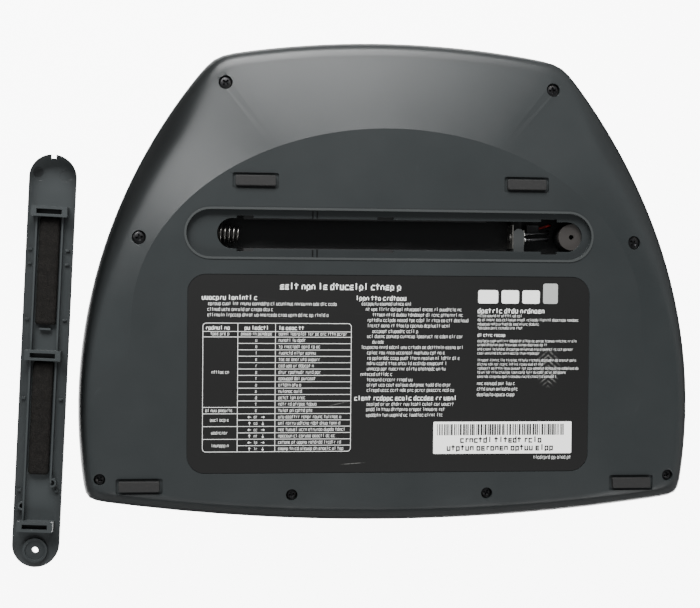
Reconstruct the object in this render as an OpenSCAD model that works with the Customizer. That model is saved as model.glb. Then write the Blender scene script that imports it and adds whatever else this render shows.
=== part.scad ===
/* [Body] */
// Overall width of the device
body_w = 318; // [310:1:326]
// Overall depth from the front edge to the rear edge
body_d = 248.2; // [242:0.2:254]
// Height of the rear crown above the desk
body_h = 48; // [46:0.5:52]
// Radius of the bowed rear edge
rear_arc_r = 490; // [440:10:560]
// Radius of the bowed sides
side_arc_r = 274; // [262:2:290]
// Radius of the bowed front edge
front_arc_r = 1033; // [900:10:1200]
// Place of the widest point, from the centre towards the rear
widest_y = -65; // [-70:1:-60]
// Wall thickness of both housing shells
wall = 2.5; // [2.2:0.1:2.8]
// Extra thickness of the top shell over the deck
deck_extra = 0.7; // [0.5:0.1:1]
// Width of the rounded band round the underside
edge_round = 8; // [7:0.5:9]
// Height of the rounded band round the underside
edge_rise = 6; // [5:0.5:7]
// Radius of the rounded band round the top
top_round = 7; // [6:0.5:8]
// Height of the parting line above the desk at the front edge
part_front = 12; // [11.5:0.25:12.5]
// Height of the parting line above the desk at the rear edge
part_rear = 22; // [21:0.25:22.5]
// Height of the groove along the parting line
seam_h = 0.6; // [0.4:0.05:0.8]
// Depth of the groove along the parting line
seam_depth = 0.5; // [0.3:0.05:0.7]

/* [Underside] */
// Height of the flat underside above the desk
base_z = 1.6; // [1.2:0.1:2]
// Half width of the oval edge of the flat underside
oval_half_w = 132; // [128:1:135]
// Half depth of the oval edge of the flat underside
oval_half_d = 98; // [94:1:100]
// Place of the oval's centre, from the centre towards the rear
oval_y = -20; // [-24:1:-16]
// Height by which the underside rises from the oval to the rear edge
rear_rise = 8.5; // [7:0.5:9.5]
// Width of the recess for the reference label
label_w = 208.4; // [204:0.2:212]
// Depth, front to rear, of the recess for the reference label
label_d = 101.7; // [98:0.1:104]
// Place of the label's centre, from the centre towards the rear
label_y = -48; // [-49:0.5:-47]
// Corner radius of the label recess
label_corner = 9.5; // [6:0.5:12]
// Depth of the label recess
label_recess = 0.4; // [0.4:0.1:0.6]
// Thickness of the reference label
label_t = 0.3; // [0.2:0.05:0.3]
// Gap between the label and the edge of its recess
label_gap = 0.3; // [0.2:0.05:0.6]
// Width of the serial sticker
serial_w = 73; // [66:1:78]
// Depth, front to rear, of the serial sticker
serial_d = 16.6; // [14:0.2:20]
// Place of the serial sticker's centre across the device
serial_x = -58.8; // [-61:0.2:-56]
// Place of the serial sticker's centre, from the centre towards the rear
serial_y = -81; // [-84:0.5:-78]
// Thickness of the serial sticker
serial_t = 0.1; // [0.06:0.02:0.2]

/* [Feet] */
// Length of a rubber foot
foot_l = 20.4; // [16:0.2:22]
// Width of a rubber foot
foot_w = 5.2; // [4:0.2:6]
// Length of the recess that holds a foot
foot_recess_l = 23.4; // [22.6:0.2:25]
// Width of the recess that holds a foot
foot_recess_w = 8; // [6.6:0.2:9]
// Depth of the recess that holds a foot
foot_recess = 1; // [0.8:0.1:1.2]
// Place of the rear feet, across
rear_foot_x = 70; // [66:1:74]
// Place of the rear feet, towards the rear
rear_foot_y = 50.3; // [49:0.1:52]
// Distance of the front feet's centres from the side
front_foot_in = 31.3; // [31:0.1:34]
// Place of the front feet, towards the rear
front_foot_y = -105; // [-106:0.5:-103]

/* [Case screws] */
// Radius of the screw shank
screw_r = 1.45; // [1.3:0.05:1.6]
// Running gap round a screw
screw_gap = 0.12; // [0.1:0.02:0.2]
// Depth of the counterbore under a screw head
counterbore = 3.2; // [2.6:0.1:3.6]
// Radius of the counterbores along the sides and rear
counterbore_r = 3.6; // [3.4:0.1:3.8]
// Radius of the counterbores along the front
front_counterbore_r = 2.95; // [2.8:0.05:3.1]
// Gap between a screw head and its counterbore
head_gap = 0.35; // [0.2:0.05:0.4]
// Thickness of a screw head
head_t = 1.8; // [1.5:0.1:2]
// Wall round a screw hole in a boss
boss_wall = 2.2; // [1.8:0.1:2.3]
// Depth of a screw in the boss of the top shell
screw_bite = 4; // [3:0.5:4.5]
// Distance of the rear screws from the widest line of the side
rear_screw_in = 73.4; // [72:0.2:76]
// Distance of the side screws from the widest line of the side
side_screw_in = 30.4; // [28:0.2:34]
// Distance of the corner screws from the widest line of the side
corner_screw_in = 11.5; // [11:0.1:13]
// Distance of the front screws from the widest line of the side
front_screw_in = 108.35; // [104:0.05:112]

/* [Battery bay] */
// Length of the recess for the battery cover
bay_l = 209.5; // [206:0.5:212]
// Width of the recess for the battery cover
bay_w = 24.1; // [23:0.1:25]
// Depth of the recess for the battery cover
bay_recess = 2.6; // [2.4:0.1:3]
// Place of the bay's centre line, from the centre towards the rear
bay_y = 23.6; // [23:0.1:24.2]
// Width of the opening in the recess
mouth_w = 15.6; // [15:0.1:16.5]
// End of the opening at the spring
mouth_spring_x = 89.4; // [88:0.2:90]
// End of the opening at the screw boss
mouth_screw_x = -100.5; // [-101:0.1:-99]
// Thickness of the rim plate round the opening
rim_t = 2; // [1.6:0.1:2.4]
// Width of the raised bead round the recess
bead_w = 1.1; // [0.8:0.1:1.4]
// Height of the raised bead round the recess
bead_h = 0.35; // [0.2:0.05:0.5]
// Place of the pair of slots across the rim
rim_slot_x = 39.6; // [38:0.2:42]
// Distance between the two slots
rim_slot_apart = 2.3; // [2:0.1:3]
// Width of each slot across the rim
rim_slot_w = 0.6; // [0.4:0.1:0.8]
// Depth of each slot across the rim
rim_slot_depth = 0.5; // [0.3:0.1:0.8]
// Length of the notches for the cover's clips
notch_l = 8.5; // [7:0.5:10]
// Gap between a clip and its notch
clip_gap = 0.35; // [0.25:0.05:0.5]
// Inner width of the battery tray
tray_w = 19; // [18.8:0.1:20]
// Wall thickness of the battery tray
tray_wall = 1.5; // [1.2:0.1:1.8]
// Height of the tray's ceiling above the rim plate
tray_h = 12.8; // [12.6:0.1:13.2]
// Distance between the two battery contacts
cells_l = 154; // [152:0.5:154.5]
// Thickness of the divider at the positive contact
divider_t = 5.4; // [4.6:0.1:6]
// Reach of the divider's tongue across the bay
divider_reach = 11.9; // [10:0.1:13]
// Radius of the boss that takes the cover's screw
cover_boss_r = 6.8; // [6:0.1:7]
// Radius of the pilot hole in that boss
pilot_r = 1.3; // [1:0.1:1.5]
// Depth of the pilot hole in that boss
pilot_depth = 8; // [6:0.5:9]
// Length of the ledge that carries the cells
ledge_l = 126; // [110:1:130]
// Reach of the ledge into the bay
ledge_reach = 2.1; // [1.5:0.1:2.1]

/* [Battery contacts] */
// Thickness of the contact plates
plate_t = 0.4; // [0.3:0.05:0.6]
// Wire radius of the battery spring
spring_wire_r = 0.45; // [0.35:0.05:0.5]
// Coil radius of the spring at its plate
spring_base_r = 5.4; // [5:0.1:5.8]
// Coil radius of the spring at its tip
spring_tip_r = 3.6; // [3.2:0.1:4]
// Number of curls in the spring
spring_turns = 5; // [4:1:6]
// Pitch of the spring
spring_pitch = 2.2; // [2:0.1:2.6]
// Radius of the battery wires
wire_r = 0.65; // [0.5:0.05:0.75]

/* [Battery cover] */
// Length of the battery cover
cover_l = 208.5; // [205:0.5:209]
// Width of the battery cover
cover_w = 23.3; // [22:0.1:23.6]
// Thickness of the cover's plate
cover_t = 2.2; // [2:0.1:2.4]
// Height of the cover's clips
clip_h = 6; // [5.5:0.1:6.5]
// Length of a clip along the cover
clip_l = 5; // [4.6:0.1:5.4]
// Width of a clip across the cover
clip_w = 17.6; // [17:0.1:18]
// Wall of a clip's frame
clip_wall = 1.3; // [1:0.1:1.5]
// Place of the first clip, from the hooked end
clip_hook_s = 29; // [26:1:32]
// Place of the middle clip, from the hooked end
clip_mid_s = 101; // [97:1:103]
// Place of the last clip, from the hooked end
clip_screw_s = 187; // [185:1:189]
// Height of the long ribs on the cover
rib_h = 3; // [2:0.1:4]
// Thickness of the long ribs
rib_t = 0.9; // [0.7:0.1:1.2]
// Distance of the long ribs from the centre line
rib_x = 6.4; // [6.1:0.1:6.6]
// Width of the foam strips
foam_w = 10.2; // [9:0.1:10.6]
// Thickness of the foam strips
foam_t = 3.4; // [2.5:0.1:4]
// Distance of the cover's screw hole from its end
cover_hole_s = 8.85; // [8.5:0.05:9.2]
// Radius of the cover's screw hole
cover_hole_r = 1.6; // [1.5:0.1:1.8]
// Gap on the desk between the device and the cover
cover_apart = 5; // [3:0.5:12]
// Turn of the cover on the desk
cover_turn = 2.5; // [0:0.5:4]
// Place of the cover's centre, from the device's centre towards the rear
cover_y = -42; // [-60:1:-20]

/* [Keyboard] */
// Height of the deck above the desk at the front edge
deck_front_z = 20; // [19.5:0.25:21]
// Slope of the deck
deck_tilt = 5; // [4.5:0.25:5.25]
// Distance from one row of keys to the next
row_pitch = 18.7; // [18.3:0.1:18.8]
// Width of the deck beside the keys
deck_side = 18.75; // [18:0.05:22]
// Gap between two keys
key_gap = 0.8; // [0.6:0.1:1]
// Gap between the keys and the edge of the well
well_gap = 0.6; // [0.5:0.1:0.8]
// Place of the keyboard's front edge
keys_front_y = -103.5; // [-104:0.25:-103]
// Depth, front to rear, of the function keys
fn_key_d = 10.4; // [9:0.2:11]
// Width of the bar between the main keys and the function keys
fn_bar = 2.6; // [2:0.1:3]
// Height of a key cap above its skirt
cap_h = 8; // [7:0.25:9]
// Height of a function key above its skirt
fn_cap_h = 6; // [5:0.25:6.5]
// Depth of a key's skirt below the deck
key_sink = 4; // [3.75:0.05:4.1]
// Taper of a key cap on each side
cap_taper = 2.4; // [1.8:0.1:2.8]
// Wall of a key cap
cap_wall = 1.2; // [1:0.1:1.5]
// Depth of the dish in a key cap
cap_dish = 0.6; // [0.4:0.1:0.8]
// Travel of a key
key_travel = 3; // [2.5:0.1:3]
// Side of a key's square stem
stem_w = 4.6; // [4:0.1:5]
// Gap between a stem and its guide
stem_gap = 0.3; // [0.2:0.05:0.4]
// Thickness of the keyboard's guide plate
guide_t = 1.5; // [1.2:0.1:1.8]
// Thickness of the wall round the key well
skirt_t = 1.4; // [1.2:0.1:1.6]

/* [Display] */
// Slope of the display ramp
ramp_tilt = 15; // [14:0.5:16]
// Place where the ramp starts, towards the rear
ramp_y = 14; // [13:0.5:15]
// Place of the display's centre, towards the rear
lcd_y = 45; // [44:0.5:46]
// Width of the visible display
view_w = 146; // [136:1:150]
// Depth, front to rear, of the visible display
view_d = 37; // [33:0.5:38]
// Width of the bezel's flange
bezel_w = 174; // [170:1:178]
// Depth, front to rear, of the bezel's flange
bezel_d = 55; // [53:0.5:56]
// Gap round the pieces of the display
lcd_gap = 0.3; // [0.2:0.05:0.4]

/* [Electronics] */
// Distance of the main board from the sides
board_in = 80; // [79:1:84]
// Front edge of the main board, towards the rear
board_front_y = 38; // [37:0.5:40]
// Rear edge of the main board, towards the rear
board_rear_y = 110; // [106:0.5:111]
// Thickness of the circuit boards
board_t = 1.6; // [1.2:0.1:1.8]
// Height of the main board above the desk
board_z = 21.5; // [21.2:0.1:22]
// Place of the square socket, across
usb_b_x = 52; // [48:1:56]
// Place of the flat socket, across
usb_a_x = 31; // [28:1:34]
// Place of the power jack, across
dc_x = -52; // [-56:1:-46]
// Gap between a socket and the rear wall
port_gap = 0.3; // [0.2:0.05:0.5]
// Width of the infrared window
ir_w = 28; // [24:1:32]
// Height of the infrared window
ir_h = 9; // [8:0.5:10]

/* [Hidden] */
$fn = 48;
eps = 0.01;
half_w = body_w / 2;
half_d = body_d / 2;
board_w = body_w - 2 * board_in;

// Plan outline: four arcs blended into one closed curve
corner_sharp = 70;
plan_unit = 100;
side_x = side_arc_r - half_w;
function ray_to_circle(a, cx, cy, r) =
    let (b = cx * cos(a) + cy * sin(a)) b + sqrt(b * b + r * r - cx * cx - cy * cy);
function blend_min(list) =
    plan_unit * pow([for (v = list) pow(v / plan_unit, -corner_sharp)] * [for (v = list) 1],
                    -1 / corner_sharp);
function plan_r(a, inset = 0) = blend_min([
    ray_to_circle(a, 0, half_d - rear_arc_r, rear_arc_r - inset),
    ray_to_circle(a, 0, front_arc_r - half_d, front_arc_r - inset),
    ray_to_circle(a, -side_x, widest_y, side_arc_r - inset),
    ray_to_circle(a, side_x, widest_y, side_arc_r - inset)
]);
front_corner_a = 38;
rear_corner_a = 50;
half_angles = concat(
    [for (a = [-90 : 6 : -front_corner_a - 4]) a],
    [for (a = [-front_corner_a - 2 : 1 : -front_corner_a + 8]) a],
    [for (a = [-front_corner_a + 11 : 3 : rear_corner_a - 11]) a],
    [for (a = [rear_corner_a - 9 : 2 : rear_corner_a + 9]) a],
    [for (a = [rear_corner_a + 12 : 4 : 90]) a]
);
plan_last = len(half_angles) - 1;
plan_angles = concat(half_angles, [for (i = [plan_last - 1 : -1 : 1]) 180 - half_angles[i]]);
plan_n = len(plan_angles);
function ring(r_of, z_of) = [
    for (a = plan_angles) let (r = r_of(a), x = r * cos(a), y = r * sin(a)) [x, y, z_of(a, x, y)]
];
function inset_ring(inset, z_of) = ring(function (a) plan_r(a, inset), z_of);

// A closed solid through a stack of rings, its ends closed by strips from side to side
module ring_solid(rings) {
    last = (len(rings) - 1) * plan_n;
    sides = [
        for (k = [0 : len(rings) - 2], i = [0 : plan_n - 1])
            let (j = (i + 1) % plan_n, low = k * plan_n, up = low + plan_n)
                each [[low + i, up + i, up + j], [low + i, up + j, low + j]]
    ];
    strips = [
        for (i = [0 : plan_last - 1])
            let (m = plan_n - i)
                i == 0 ? [0, 1, m - 1]
                : i == plan_last - 1 ? [i, i + 1, m]
                : [i, i + 1, m - 1, m]
    ];
    top_strips = [for (s = strips) [for (i = [len(s) - 1 : -1 : 0]) last + s[i]]];
    polyhedron(points = [for (r = rings) each r], faces = concat(sides, strips, top_strips));
}

// Heights over the plan
function mix(a, b, t) = a + (b - a) * t;
function ease(t) = let (c = max(0, min(1, t))) c * c * (3 - 2 * c);
function part_z(y) = mix(part_front, part_rear, (y + half_d) / body_d);
function deck_z(y) = deck_front_z + (y + half_d) * tan(deck_tilt);
function ramp_z(y) = deck_z(ramp_y) + (y - ramp_y) * tan(ramp_tilt);
crown_y = 98;
rear_fall = 4.5;
function crown_z(y) = body_h - rear_fall * pow(max(0, y - crown_y) / (half_d - crown_y), 2);
function top_z(y) = min(crown_z(y), max(deck_z(y), ramp_z(y)));

// Underside: flat inside the oval, rising behind it and along the sides
oval_widen = 12;
flat_margin = 14;
rise_from = -25;
rise_full = 40;
function oval_ray(a) =
    let (c = cos(a), s = sin(a), q = c * c / pow(oval_half_w, 2) + s * s / pow(oval_half_d, 2),
         h = s * oval_y / pow(oval_half_d, 2))
        (h + sqrt(h * h - q * (pow(oval_y / oval_half_d, 2) - 1))) / q;
function oval_r(a) =
    let (f = asin(sin(a)), turn = atan(oval_y / oval_half_w))
        f > turn ? oval_ray(a)
        : (oval_half_w + oval_widen * ease((turn - f) / 30)) / max(0.2, abs(cos(a)));
function crease_r(a) = blend_min([oval_r(a), plan_r(a, flat_margin)]);
function rise(a) = rear_rise * ease((asin(sin(a)) - rise_from) / (rise_full - rise_from));
function under_z(x, y) =
    let (a = atan2(y, x), r = norm([x, y]), c = crease_r(a))
        base_z + rise(a) * max(0, min(1, (r - c) / (plan_r(a, edge_round) - c)));

// Frames tied to the deck and to the display ramp
module on_deck() translate([0, keys_front_y, deck_z(keys_front_y)]) rotate([deck_tilt, 0, 0]) children();
module on_ramp() translate([0, lcd_y, ramp_z(lcd_y)]) rotate([ramp_tilt, 0, 0]) children();

// Plain building blocks
module block(x0, x1, y0, y1, z0, z1) translate([x0, y0, z0]) cube([x1 - x0, y1 - y0, z1 - z0]);
module slab(w, d, r, z0, z1) translate([0, 0, z0]) linear_extrude(z1 - z0) {
    square([w - 2 * r, d], center = true);
    square([w, d - 2 * r], center = true);
    for (x = [-1, 1], y = [-1, 1]) translate([x * (w / 2 - r), y * (d / 2 - r)]) circle(r);
}
module stadium(x0, x1, w, z0, z1) translate([0, 0, z0]) linear_extrude(z1 - z0) {
    translate([x0 + w / 2, -w / 2]) square([x1 - x0 - w, w]);
    for (x = [x0 + w / 2, x1 - w / 2]) translate([x, 0]) circle(w / 2);
}
module at_corners(x, y) for (sx = [-1, 1]) translate([sx * x, y, 0]) children();
function unit(v) = v / norm(v);

// A round tube swept along a list of points, its section turned with the path
function tube_points(path, r, sides, up) = [
    for (i = [0 : len(path) - 1])
        let (t = unit(path[min(i + 1, len(path) - 1)] - path[max(i - 1, 0)]),
             n = unit(cross(t, up(i))), b = cross(t, n))
            for (k = [0 : sides - 1]) path[i] + r * (cos(360 * k / sides) * n + sin(360 * k / sides) * b)
];
module tube(path, r, sides, up = function (i) [0, 0, 1]) {
    n = len(path);
    faces = concat(
        [[for (k = [sides - 1 : -1 : 0]) k]],
        [[for (k = [0 : sides - 1]) (n - 1) * sides + k]],
        [for (i = [0 : n - 2], k = [0 : sides - 1])
            let (j = (k + 1) % sides, a = i * sides, b = a + sides)
                each [[a + k, a + j, b + j], [a + k, b + j, b + k]]]
    );
    polyhedron(points = tube_points(path, r, sides, up), faces = faces);
}

// Case screws: x, y, counterbore radius
screw_sites = [
    [half_w - rear_screw_in, half_d - 23.2, counterbore_r], [half_w - side_screw_in, 21, counterbore_r],
    [half_w - corner_screw_in, 22.8 - half_d, front_counterbore_r],
    [half_w - front_screw_in, 14.2 - half_d, front_counterbore_r]
];
boss_r = screw_r + screw_gap + boss_wall;
boss_gap = 0.2;
function seat_z(s) = under_z(s[0], s[1]) + counterbore;
module at_screws() for (s = screw_sites, side = [-1, 1]) translate([side * s[0], s[1], 0]) {
    $site = s;
    children();
}

// Battery bay
rim_z = base_z + bay_recess;
rim_top = rim_z + rim_t;
tray_top = rim_top + tray_h + tray_wall;
ceiling_z = rim_top + tray_h;
bay_x0 = -bay_l / 2;
bay_x1 = bay_l / 2;
clip_s = [clip_hook_s, clip_mid_s, clip_screw_s];
hook_x = cover_l / 2;
screw_boss_x = -cover_l / 2 + cover_hole_s;
plate_x = mouth_spring_x + 0.8;
contact_x = plate_x - plate_t - cells_l;
divider_x1 = contact_x - plate_t;
divider_x0 = divider_x1 - divider_t;
ledge_x1 = 76;
island_margin = 3;
module at_bay() translate([0, bay_y, 0]) children();
module clip_notches(z0, z1) for (s = clip_s)
    translate([hook_x - s, 0, 0])
        block(-notch_l / 2, notch_l / 2, -clip_w / 2 - clip_gap, clip_w / 2 + clip_gap, z0, z1);

// The underside shell with its flat oval, label recess, bay recess and screw bosses
module lower_outer() ring_solid(concat(
    [ring(function (a) crease_r(a), function (a, x, y) base_z)],
    [for (t = [0 : 22.5 : 90])
        inset_ring(edge_round * (1 - sin(t)),
                   function (a, x, y) base_z + rise(a) + edge_rise * (1 - cos(t)))],
    [inset_ring(0, function (a, x, y) part_z(y) - seam_h),
     inset_ring(seam_depth, function (a, x, y) part_z(y))]
));
module lower_inner() ring_solid([
    ring(function (a) crease_r(a) - 1, function (a, x, y) base_z + wall),
    inset_ring(edge_round + wall * 0.7, function (a, x, y) base_z + rise(a) + wall),
    inset_ring(wall + edge_round * 0.3, function (a, x, y) base_z + rise(a) + wall + edge_rise * 0.3),
    inset_ring(wall, function (a, x, y) base_z + rise(a) + wall + edge_rise * 0.9),
    inset_ring(wall, function (a, x, y) part_z(y) + 1)
]);
post_r = 3.2;
post_x = board_w / 2 - 7;
post_sites = [[post_x, board_front_y + 6], [post_x, board_rear_y - 14]];
key_post_sites = [[-95, 0], [-95, 118], [-45, 118], [-2, 118], [-2, 40]];
module lower_housing() color([0.19, 0.21, 0.22]) difference() {
    union() {
        difference() {
            lower_outer();
            lower_inner();
        }
        at_bay() {
            stadium(bay_x0 - island_margin, bay_x1 + island_margin, bay_w + 2 * island_margin,
                    base_z, rim_top);
            stadium(bay_x0 - bead_w, bay_x1 + bead_w, bay_w + 2 * bead_w, base_z - bead_h, base_z + 1);
        }
        at_screws() translate([0, 0, under_z($site[0], $site[1]) + 1.5])
            cylinder(r = max(boss_r, $site[2] + 0.9),
                     h = part_z($site[1]) - boss_gap - under_z($site[0], $site[1]) - 1.5);
        for (p = post_sites) at_corners(p[0], p[1])
            translate([0, 0, under_z(p[0], p[1]) + 1])
                cylinder(r = post_r, h = board_z - under_z(p[0], p[1]) - 1);
        for (p = key_post_sites) at_corners(p[1], p[0]) translate([0, 0, base_z + 1])
            cylinder(r = post_r, h = key_board_under(p[0]) - base_z - 1);
    }
    at_bay() {
        stadium(bay_x0, bay_x1, bay_w, 0, rim_z);
        stadium(mouth_screw_x, mouth_spring_x, mouth_w, 0, rim_top + 1);
        clip_notches(0, rim_top + 1);
        for (x = [-1, 1]) translate([rim_slot_x + x * rim_slot_apart / 2, 0, 0])
            block(-rim_slot_w / 2, rim_slot_w / 2, -bay_w / 2, bay_w / 2, 0, rim_z + rim_slot_depth);
    }
    translate([0, label_y, 0]) slab(label_w, label_d, label_corner, 0, base_z + label_recess);
    for (f = foot_sites) at_corners(f[0], f[1])
        slab(foot_recess_l, foot_recess_w, 1, 0, base_z + foot_recess);
    at_screws() {
        cylinder(r = $site[2], h = seat_z($site));
        cylinder(r = screw_r + screw_gap, h = body_h);
    }
    for (p = post_sites) at_corners(p[0], p[1])
        translate([0, 0, board_z - 6]) cylinder(r = 0.95, h = 7);
}

// Rubber feet glued in their recesses
foot_sites = [[rear_foot_x, rear_foot_y], [half_w - front_foot_in, front_foot_y]];
module foot_pair(site) color([0.12, 0.12, 0.12])
    at_corners(site[0], site[1]) slab(foot_l, foot_w, 0.8, 0, base_z + foot_recess);
module rear_feet() foot_pair(foot_sites[0]);
module front_feet() foot_pair(foot_sites[1]);

// Printed label and serial sticker on the underside
label_face = base_z + label_recess - label_t;
module reference_label() color([0.08, 0.08, 0.08])
    translate([0, label_y, 0])
        slab(label_w - 2 * label_gap, label_d - 2 * label_gap, label_corner - label_gap,
             label_face, base_z + label_recess);
module serial_label() color([0.92, 0.92, 0.9])
    translate([serial_x, serial_y, 0]) slab(serial_w, serial_d, 0.6, label_face - serial_t, label_face);

// Case screws, head in the counterbore and tip in the top shell
module case_screws() color([0.1, 0.1, 0.1]) at_screws() {
    translate([0, 0, seat_z($site) - head_t]) cylinder(r = $site[2] - head_gap, h = head_t);
    translate([0, 0, seat_z($site) - head_t / 2])
        cylinder(r = screw_r, h = part_z($site[1]) + screw_bite - seat_z($site) + head_t / 2);
}

// Battery tray: the walls and ceiling of the bay, its divider, boss and ledges
tray_x0 = bay_x0 + 1;
tray_x1 = plate_x + tray_wall;
module battery_tray() color([0.09, 0.09, 0.1]) at_bay() difference() {
    union() {
        difference() {
            block(tray_x0, tray_x1, -tray_w / 2 - tray_wall, tray_w / 2 + tray_wall, rim_top, tray_top);
            block(tray_x0 + tray_wall, plate_x, -tray_w / 2, tray_w / 2, rim_top - 1, ceiling_z);
        }
        block(divider_x0, divider_x1, -tray_w / 2 - 1, tray_w / 2 + 1, ceiling_z - 7, tray_top - 0.5);
        divider_tongue(rim_top, ceiling_z);
        translate([screw_boss_x, 0, rim_top + 0.2]) cylinder(r = cover_boss_r, h = tray_h);
        for (turn = [0, 180]) rotate([0, 0, turn]) translate([turn == 0 ? ledge_x1 - ledge_l : -ledge_x1, 0, 0])
            block(0, ledge_l, -tray_w / 2 - 1, -tray_w / 2 + ledge_reach, rim_top + 2.4, rim_top + 3.8);
    }
    translate([screw_boss_x, 0, 0]) cylinder(r = pilot_r, h = rim_top + 0.2 + pilot_depth);
    for (hole = wire_holes) translate([hole[0], hole[1] - bay_y, ceiling_z - 1])
        cylinder(r = wire_r + 0.5, h = tray_wall + 2);
}
module divider_tongue(z0, z1) translate([0, 0, z0]) linear_extrude(z1 - z0) {
    translate([divider_x0, -tray_w / 2 - 1])
        square([divider_t, tray_w / 2 + 1 - mouth_w / 2 + divider_reach - divider_t / 2]);
    translate([divider_x0 + divider_t / 2, -mouth_w / 2 + divider_reach - divider_t / 2])
        circle(divider_t / 2);
}

// Contacts: the spring's plate, the spring, and the strip folded over the divider
module spring_plate() color([0.75, 0.74, 0.7]) at_bay()
    block(plate_x - plate_t, plate_x, -6.5, 6.5, rim_top + 0.6, ceiling_z);
spring_axis_z = rim_top + 6.2;
spring_steps = spring_turns * 8;
spring_start_x = plate_x - plate_t - spring_wire_r - 0.05;
spring_path = [
    for (i = [0 : spring_steps])
        let (t = i / spring_steps, a = 45 * i, r = mix(spring_base_r, spring_tip_r, t))
            [spring_start_x - spring_pitch * spring_turns * t, bay_y + r * cos(a), spring_axis_z + r * sin(a)]
];
spring_gaps = [
    for (i = [0 : spring_steps], j = [0 : spring_steps])
        if (j - i > 5) norm(spring_path[j] - spring_path[i]) - 2 * spring_wire_r
];
echo(least_gap_in_battery_spring = min(spring_gaps));
module battery_spring() color([0.78, 0.77, 0.74])
    tube(spring_path, spring_wire_r, 6,
         function (i) [0, cos(45 * i), sin(45 * i)]);
solder_y = bay_y - 1;
module positive_contact() color([0.78, 0.76, 0.7]) {
    translate([0, bay_y, 0]) {
        block(divider_x1, divider_x1 + plate_t, -6.2, 6.2, rim_top + 1, ceiling_z);
        translate([divider_x1 + plate_t - 0.1, 0, spring_axis_z]) rotate([0, 90, 0])
            cylinder(r1 = 2.6, r2 = 1.8, h = 0.9, $fn = 32);
    }
    block(divider_x0 - plate_t, divider_x0, solder_y - 3, solder_y + 4.4, rim_top + 1, rim_top + 5.6);
}

// The plug and the wires between the contacts and the main board
plug_x0 = divider_x0 - 9.6;
module battery_plug() color([0.16, 0.16, 0.16])
    block(plug_x0, plug_x0 + 6.5, bay_y + 2, bay_y + 6.4, ceiling_z - 6, ceiling_z);
wire_holes = [[-87, bay_y + 6.6], [-86, bay_y + 3], [-85.2, bay_y - 0.8]];
wire_top = board_z + board_t + wire_r + 0.05;
board_end = [-board_w / 2 + 4, board_front_y + 10];
function wire_route(start, hole, lane) = [
    start[0], start[1], start[2],
    [hole[0], hole[1], ceiling_z - 2], [hole[0], hole[1], tray_top + 0.6],
    [hole[0] + 1, hole[1] + 2.4, wire_top + 0.6],
    [hole[0] + 3, hole[1] + 6, wire_top + 1.6],
    [board_end[0] - 1, board_end[1] + lane - 3, wire_top + 1.6],
    [board_end[0] + 2, board_end[1] + lane, wire_top],
    [board_end[0] + 6, board_end[1] + lane, wire_top]
];
wire_up = function (i) [0.83, -0.55, 0.1];
module red_wire() color([0.5, 0.05, 0.04])
    tube(wire_route([[plug_x0 - 0.15, bay_y + 4.6, ceiling_z - 3],
                     [plug_x0 - 1.6, bay_y + 5, ceiling_z - 3.6],
                     [plug_x0 - 3, bay_y + 5.4, ceiling_z - 3.4]], wire_holes[0], 7), wire_r, 8, wire_up);
tab_x = divider_x0 - plate_t - 0.05;
module black_wires() color([0.07, 0.07, 0.07]) {
    tube(wire_route([[tab_x, solder_y + 2.4, rim_top + 4],
                     [tab_x - 6, solder_y + 2.9, rim_top + 4.4],
                     [tab_x - 12, solder_y + 3.2, rim_top + 6]], wire_holes[1], 4), wire_r, 8, wire_up);
    tube(wire_route([[tab_x, solder_y - 0.6, rim_top + 3],
                     [tab_x - 6, solder_y - 0.4, rim_top + 3.2],
                     [tab_x - 12, solder_y, rim_top + 5]], wire_holes[2], 1), wire_r, 8, wire_up);
}

// Key layout: widths of the keys in each row, in key pitches, from the front row to the rear
function ones(n) = [for (i = [1 : n]) 1];
key_rows = [
    [1.5, 1.25, 1.25, 6, 1, 1, 1, 1, 1],
    concat([2.25], ones(10), [2.75]),
    concat([1.75], ones(11), [2.25]),
    concat([1.5], ones(12), [1.5]),
    concat(ones(13), [2]),
    ones(15)
];
fn_row = 5;
units_across = 15;
keys_w = body_w - 2 * deck_side;
key_pitch = keys_w / units_across;
main_d = fn_row * row_pitch;
keys_d = main_d + fn_bar + fn_key_d;
function sum(list, n) = n <= 0 ? 0 : list[n - 1] + sum(list, n - 1);
function key_x(row, i) = (sum(key_rows[row], i) + key_rows[row][i] / 2) * key_pitch - keys_w / 2;
function key_v(row) = row == fn_row ? main_d + fn_bar + fn_key_d / 2 : (row + 0.5) * row_pitch;
function key_w(row, i) = key_rows[row][i] * key_pitch - key_gap;
function key_d(row) = row == fn_row ? fn_key_d : row_pitch - key_gap;
function key_top(row) = row == fn_row ? fn_cap_h : cap_h;
wide_key = 1.9;
dished_key = 1.3;
post_w = 3;
function has_posts(row, i) = key_rows[row][i] > wide_key;
function post_at(row, i) = key_w(row, i) / 2 - 9;

// Stack of the keyboard below the deck
guide_top = -key_sink - key_travel - 0.4;
guide_under = guide_top - guide_t;
stem_end = guide_under - 0.1;
pad_t = 0.3;
dome_top = stem_end - key_travel - 0.1 - pad_t;
dome_t = 0.8;
key_board_top = dome_top - dome_t;
key_board_t = 1.2;
frame_v0 = -well_gap - skirt_t;
frame_v1 = keys_d + well_gap + skirt_t;
frame_x = keys_w / 2 + well_gap + skirt_t;
rim_w = 4;
function key_board_under(y) =
    deck_z(y) + (key_board_top - key_board_t) / cos(deck_tilt) - post_r * tan(deck_tilt) - 0.3;

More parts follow.
